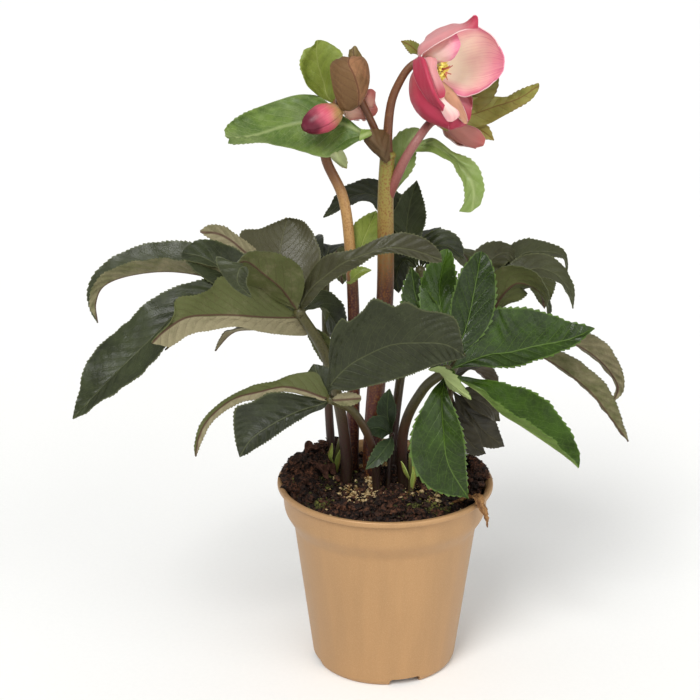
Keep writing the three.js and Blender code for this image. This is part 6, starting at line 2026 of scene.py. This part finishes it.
# Closed bud: the outer faces of young sepals, crimson at the tip and cream-green at the foot.
def bud_skin(name):
    material, tree, place = new_material(name)
    lap, along = read_map(tree, "share")
    soft = add(tree, "TexNoise", None, {"Vector": place, "Scale": 120.0, "Detail": 3.0})
    reach = add(tree, "Math", SCALED, {0: soft, 1: 0.35, 2: along})
    foot = add(tree, "MapRange", EASED, {0: reach, 1: 0.3, 2: 0.72})
    straw, rose = linear("a2844e"), linear("be4860")
    colour = add(tree, "Mix", COLOURS, {0: foot, 6: straw, 7: rose}).outputs[2]
    # streaks about 0.7 mm wide along the sepals
    fan = add(tree, "CombineXYZ", None, {0: lap, 1: along})
    fan = add(tree, "Mapping", None, {"Vector": fan, "Scale": (22.0, 1.8, 1.0)})
    streak = add(tree, "TexNoise", None, {"Vector": fan, "Scale": 1.0, "Detail": 4.0})
    streaks = add(tree, "MapRange", EASED, {0: streak, 1: 0.42, 2: 0.68, 4: 0.3})
    tip = add(tree, "MapRange", EASED, {0: reach, 1: 0.64, 2: 1.0})
    seam = add(tree, "MapRange", EASED, {0: lap, 1: 0.97, 2: 1.0, 4: 0.8})
    for show, code in ((streaks, "de8482"), (tip, "5e0a24"), (seam, "7a2038")):
        colour = add(tree, "Mix", COLOURS, {0: show, 6: colour, 7: linear(code)}).outputs[2]
    bump = add(tree, "Bump", None, {"Height": streak, "Strength": 0.3, "Distance": 0.3 * MM})
    roughness = add(tree, "MapRange", None, {0: streak, 1: 0.3, 2: 0.7, 3: 0.36, 4: 0.5})
    finish_material(tree, colour, roughness, bump, specular=0.45)
    return material


# ---------------------------------------------------------------- stage
CAMERA_PLACE = (-21.2, -862.8, 487.3)
CAMERA_PITCH_DEG = 18.51
FOCAL_MM = 79.73
FRAME_MM = 36
VIEW_METRES = 20  # the farthest that is seen
FLOOR_HALF = 30.0  # metres
FLOOR_SQUARES = 24


def pale_floor(name, tone):
    """Seamless studio paper: matt, and almost white."""
    material, tree, place = new_material(name)
    tooth = add(tree, "TexNoise", None, {"Vector": place, "Scale": 400.0, "Detail": 3.0})
    mix = add(tree, "MapRange", EASED, {0: tooth, 1: 0.3, 2: 0.7})
    darker = tuple(c * 0.985 for c in tone)
    colour = add(tree, "Mix", COLOURS, {0: mix, 6: darker, 7: tone}).outputs[2]
    bump = add(tree, "Bump", None, {"Height": tooth, "Strength": 0.05, "Distance": 0.2 * MM})
    finish_material(tree, colour, 0.9, bump, specular=0.2)
    return material


def soft_light(name, towards, spread_deg, strength):
    """A broad distant light, as from a large softbox. towards points from the plant to it."""
    light = bpy.data.lights.new(name, "SUN")
    light.energy, light.angle = strength, math.radians(spread_deg)
    lamp = bpy.data.objects.new(name, light)
    lamp.location = Vector(towards)
    lamp.rotation_euler = Vector(towards).to_track_quat("Z", "Y").to_euler()
    bpy.context.scene.collection.objects.link(lamp)


def build_stage(stage):
    scene = bpy.context.scene
    body = bmesh.new()
    squares = {"x_segments": FLOOR_SQUARES, "y_segments": FLOOR_SQUARES}
    bmesh.ops.create_grid(body, size=FLOOR_HALF, **squares)
    mesh = mesh_of(body, "floor")
    floor = bpy.data.objects.new("floor", mesh)
    mesh.materials.append(pale_floor("studio_paper", tuple(stage.floor)))
    scene.collection.objects.link(floor)
    floor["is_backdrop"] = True
    soft_light("key", (-0.35, -0.75, 0.85), 26, stage.key)
    soft_light("fill", (0.75, -0.85, 0.4), 60, stage.fill)
    world = bpy.data.worlds.new("studio")
    world.use_nodes = True
    tree = world.node_tree
    surround = tree.nodes["Background"].inputs
    surround["Color"].default_value = (1, 1, 1, 1)
    # brighter overhead than at the horizon, as under a large overhead softbox
    place = add(tree, "TexCoord").outputs["Generated"]
    height = add(tree, "SeparateXYZ", None, {0: place}).outputs[2]
    glow = {0: height, 2: 0.9, 3: stage.sky * 0.6, 4: stage.sky * 1.5}
    glow = add(tree, "MapRange", EASED, glow)
    tree.links.new(glow.outputs[0], surround["Strength"])
    scene.world = world
    scene.view_settings.view_transform = "Standard"
    lens = bpy.data.cameras.new("camera")
    lens.lens, lens.sensor_width, lens.clip_end = FOCAL_MM, FRAME_MM, VIEW_METRES
    camera = bpy.data.objects.new("camera", lens)
    camera.location = Vector(CAMERA_PLACE) * MM
    camera.rotation_euler = (math.radians(90 - CAMERA_PITCH_DEG), 0, 0)
    scene.collection.objects.link(camera)
    scene.camera = camera


# ---------------------------------------------------------------- what a user may change
def colour_prop(name, description, code):
    fields = {"default": linear(code), "subtype": "COLOR", "size": 3, "min": 0.0, "max": 1.0}
    return bpy.props.FloatVectorProperty(name=name, description=description, **fields)


class PotSettings(bpy.types.PropertyGroup):
    plastic: colour_prop("Plastic", "Colour of the moulded pot", "ab8459")


class SoilSettings(bpy.types.PropertyGroup):
    wet: colour_prop("Wet peat", "Colour of moist potting mix", "1c100b")
    dry: colour_prop("Dry peat", "Colour of dry potting mix", "6a4430")


class FoliageSettings(bpy.types.PropertyGroup):
    dark_leaf: colour_prop("Old leaf", "Upper face of the dark evergreen leaves", "2d331d")
    bright_leaf: colour_prop("Green leaf", "Upper face of the bright evergreen leaf", "2a4009")
    stalk_foot: colour_prop("Stalk foot", "Flowering stalk near the soil", "4a221a")
    stalk_upper: colour_prop("Stalk", "Flowering stalk higher up", "967c3e")


class BloomSettings(bpy.types.PropertyGroup):
    inner_pink: colour_prop("Inner face", "Margin of the open sepals' inner face", "e2849a")
    outer_crimson: colour_prop("Outer face", "Outer face of the open sepals", "ab2c48")
    salmon: colour_prop("Half-open bloom", "Sepals of the half-open blooms", "b4645c")


def light_prop(name, description, strength):
    return bpy.props.FloatProperty(name=name, description=description, default=strength, min=0.0)


class StageSettings(bpy.types.PropertyGroup):
    floor: colour_prop("Floor", "Studio paper under the pot", "f4f4f2")
    key: light_prop("Key light", "Soft light from the left", 2.05)
    fill: light_prop("Fill light", "Soft light from the right", 1.45)
    sky: light_prop("Surround", "Brightness of the white surround", 0.42)


# ---------------------------------------------------------------- operators
class HELLEBORE_OT_pot(bpy.types.Operator):
    """Build the moulded nursery pot"""

    bl_idname = "hellebore.pot"
    bl_label = "Pot"

    def execute(self, context):
        build_pot(tuple(context.scene.hellebore_pot.plastic))
        return {"FINISHED"}


class HELLEBORE_OT_soil(bpy.types.Operator):
    """Build the potting mix with its crumbs, grit and moss"""

    bl_idname = "hellebore.soil"
    bl_label = "Soil"

    def execute(self, context):
        settings = context.scene.hellebore_soil
        build_soil(tuple(settings.wet), tuple(settings.dry))
        return {"FINISHED"}


class HELLEBORE_OT_stalks(bpy.types.Operator):
    """Build the flowering stalks"""

    bl_idname = "hellebore.stalks"
    bl_label = "Flowering stalks"

    def execute(self, context):
        settings = context.scene.hellebore_foliage
        build_stalks(tuple(settings.stalk_foot), tuple(settings.stalk_upper))
        return {"FINISHED"}


class HELLEBORE_OT_leaves(bpy.types.Operator):
    """Build the evergreen leaves and the young shoot"""

    bl_idname = "hellebore.leaves"
    bl_label = "Leaves"

    def execute(self, context):
        build_leaves(context.scene.hellebore_foliage)
        return {"FINISHED"}


class HELLEBORE_OT_young_growth(bpy.types.Operator):
    """Build the sheathed buds in the soil and the withered scrap"""

    bl_idname = "hellebore.young_growth"
    bl_label = "Young growth"

    def execute(self, context):
        build_young_growth()
        return {"FINISHED"}


class HELLEBORE_OT_bracts(bpy.types.Operator):
    """Build the bracts on the flowering stalks"""

    bl_idname = "hellebore.bracts"
    bl_label = "Bracts"

    def execute(self, context):
        build_bracts()
        return {"FINISHED"}


class HELLEBORE_OT_open_bloom(bpy.types.Operator):
    """Build the open bloom with its nectaries, stamens and styles"""

    bl_idname = "hellebore.open_bloom"
    bl_label = "Open bloom"

    def execute(self, context):
        build_open_bloom(context.scene.hellebore_bloom)
        return {"FINISHED"}


class HELLEBORE_OT_half_open_blooms(bpy.types.Operator):
    """Build the two half-open blooms and the closed bud"""

    bl_idname = "hellebore.half_open_blooms"
    bl_label = "Half-open blooms and bud"

    def execute(self, context):
        build_half_open_blooms(tuple(context.scene.hellebore_bloom.salmon))
        build_bud()
        return {"FINISHED"}


class HELLEBORE_OT_stage(bpy.types.Operator):
    """Build the floor, lights and camera"""

    bl_idname = "hellebore.stage"
    bl_label = "Stage"

    def execute(self, context):
        build_stage(context.scene.hellebore_stage)
        return {"FINISHED"}


class HELLEBORE_PT_panel(bpy.types.Panel):
    """Lists what can be built and what can be changed"""

    bl_idname = "HELLEBORE_PT_panel"
    bl_label = "Hellebore"
    bl_space_type = "VIEW_3D"
    bl_region_type = "UI"
    bl_category = "Hellebore"

    def draw(self, context):
        layout = self.layout
        for operator in OPERATORS:
            layout.operator(operator.bl_idname)
        for field, group in GROUPS.items():
            box = layout.box()
            for name in group.__annotations__:
                box.prop(getattr(context.scene, field), name)


OPERATORS = (
    HELLEBORE_OT_pot,
    HELLEBORE_OT_soil,
    HELLEBORE_OT_stalks,
    HELLEBORE_OT_leaves,
    HELLEBORE_OT_young_growth,
    HELLEBORE_OT_bracts,
    HELLEBORE_OT_open_bloom,
    HELLEBORE_OT_half_open_blooms,
    HELLEBORE_OT_stage,
)
GROUPS = {
    "hellebore_pot": PotSettings,
    "hellebore_soil": SoilSettings,
    "hellebore_foliage": FoliageSettings,
    "hellebore_bloom": BloomSettings,
    "hellebore_stage": StageSettings,
}


def register():
    for one in (*GROUPS.values(), *OPERATORS, HELLEBORE_PT_panel):
        bpy.utils.register_class(one)
    for field, group in GROUPS.items():
        setattr(bpy.types.Scene, field, bpy.props.PointerProperty(type=group))


def unregister():
    for field in GROUPS:
        delattr(bpy.types.Scene, field)
    for one in (HELLEBORE_PT_panel, *reversed(OPERATORS), *reversed(GROUPS.values())):
        bpy.utils.unregister_class(one)


def main():
    register()
    bpy.ops.hellebore.pot()
    bpy.ops.hellebore.soil()
    bpy.ops.hellebore.stalks()
    bpy.ops.hellebore.leaves()
    bpy.ops.hellebore.young_growth()
    bpy.ops.hellebore.bracts()
    bpy.ops.hellebore.open_bloom()
    bpy.ops.hellebore.half_open_blooms()
    bpy.ops.hellebore.stage()
    boxes = {"solids": SOLID_BOX, "dressed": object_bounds()}
    {name: [list(corner) for corner in box] for name, box in boxes.items()}


if __name__ == "__main__":
    main()
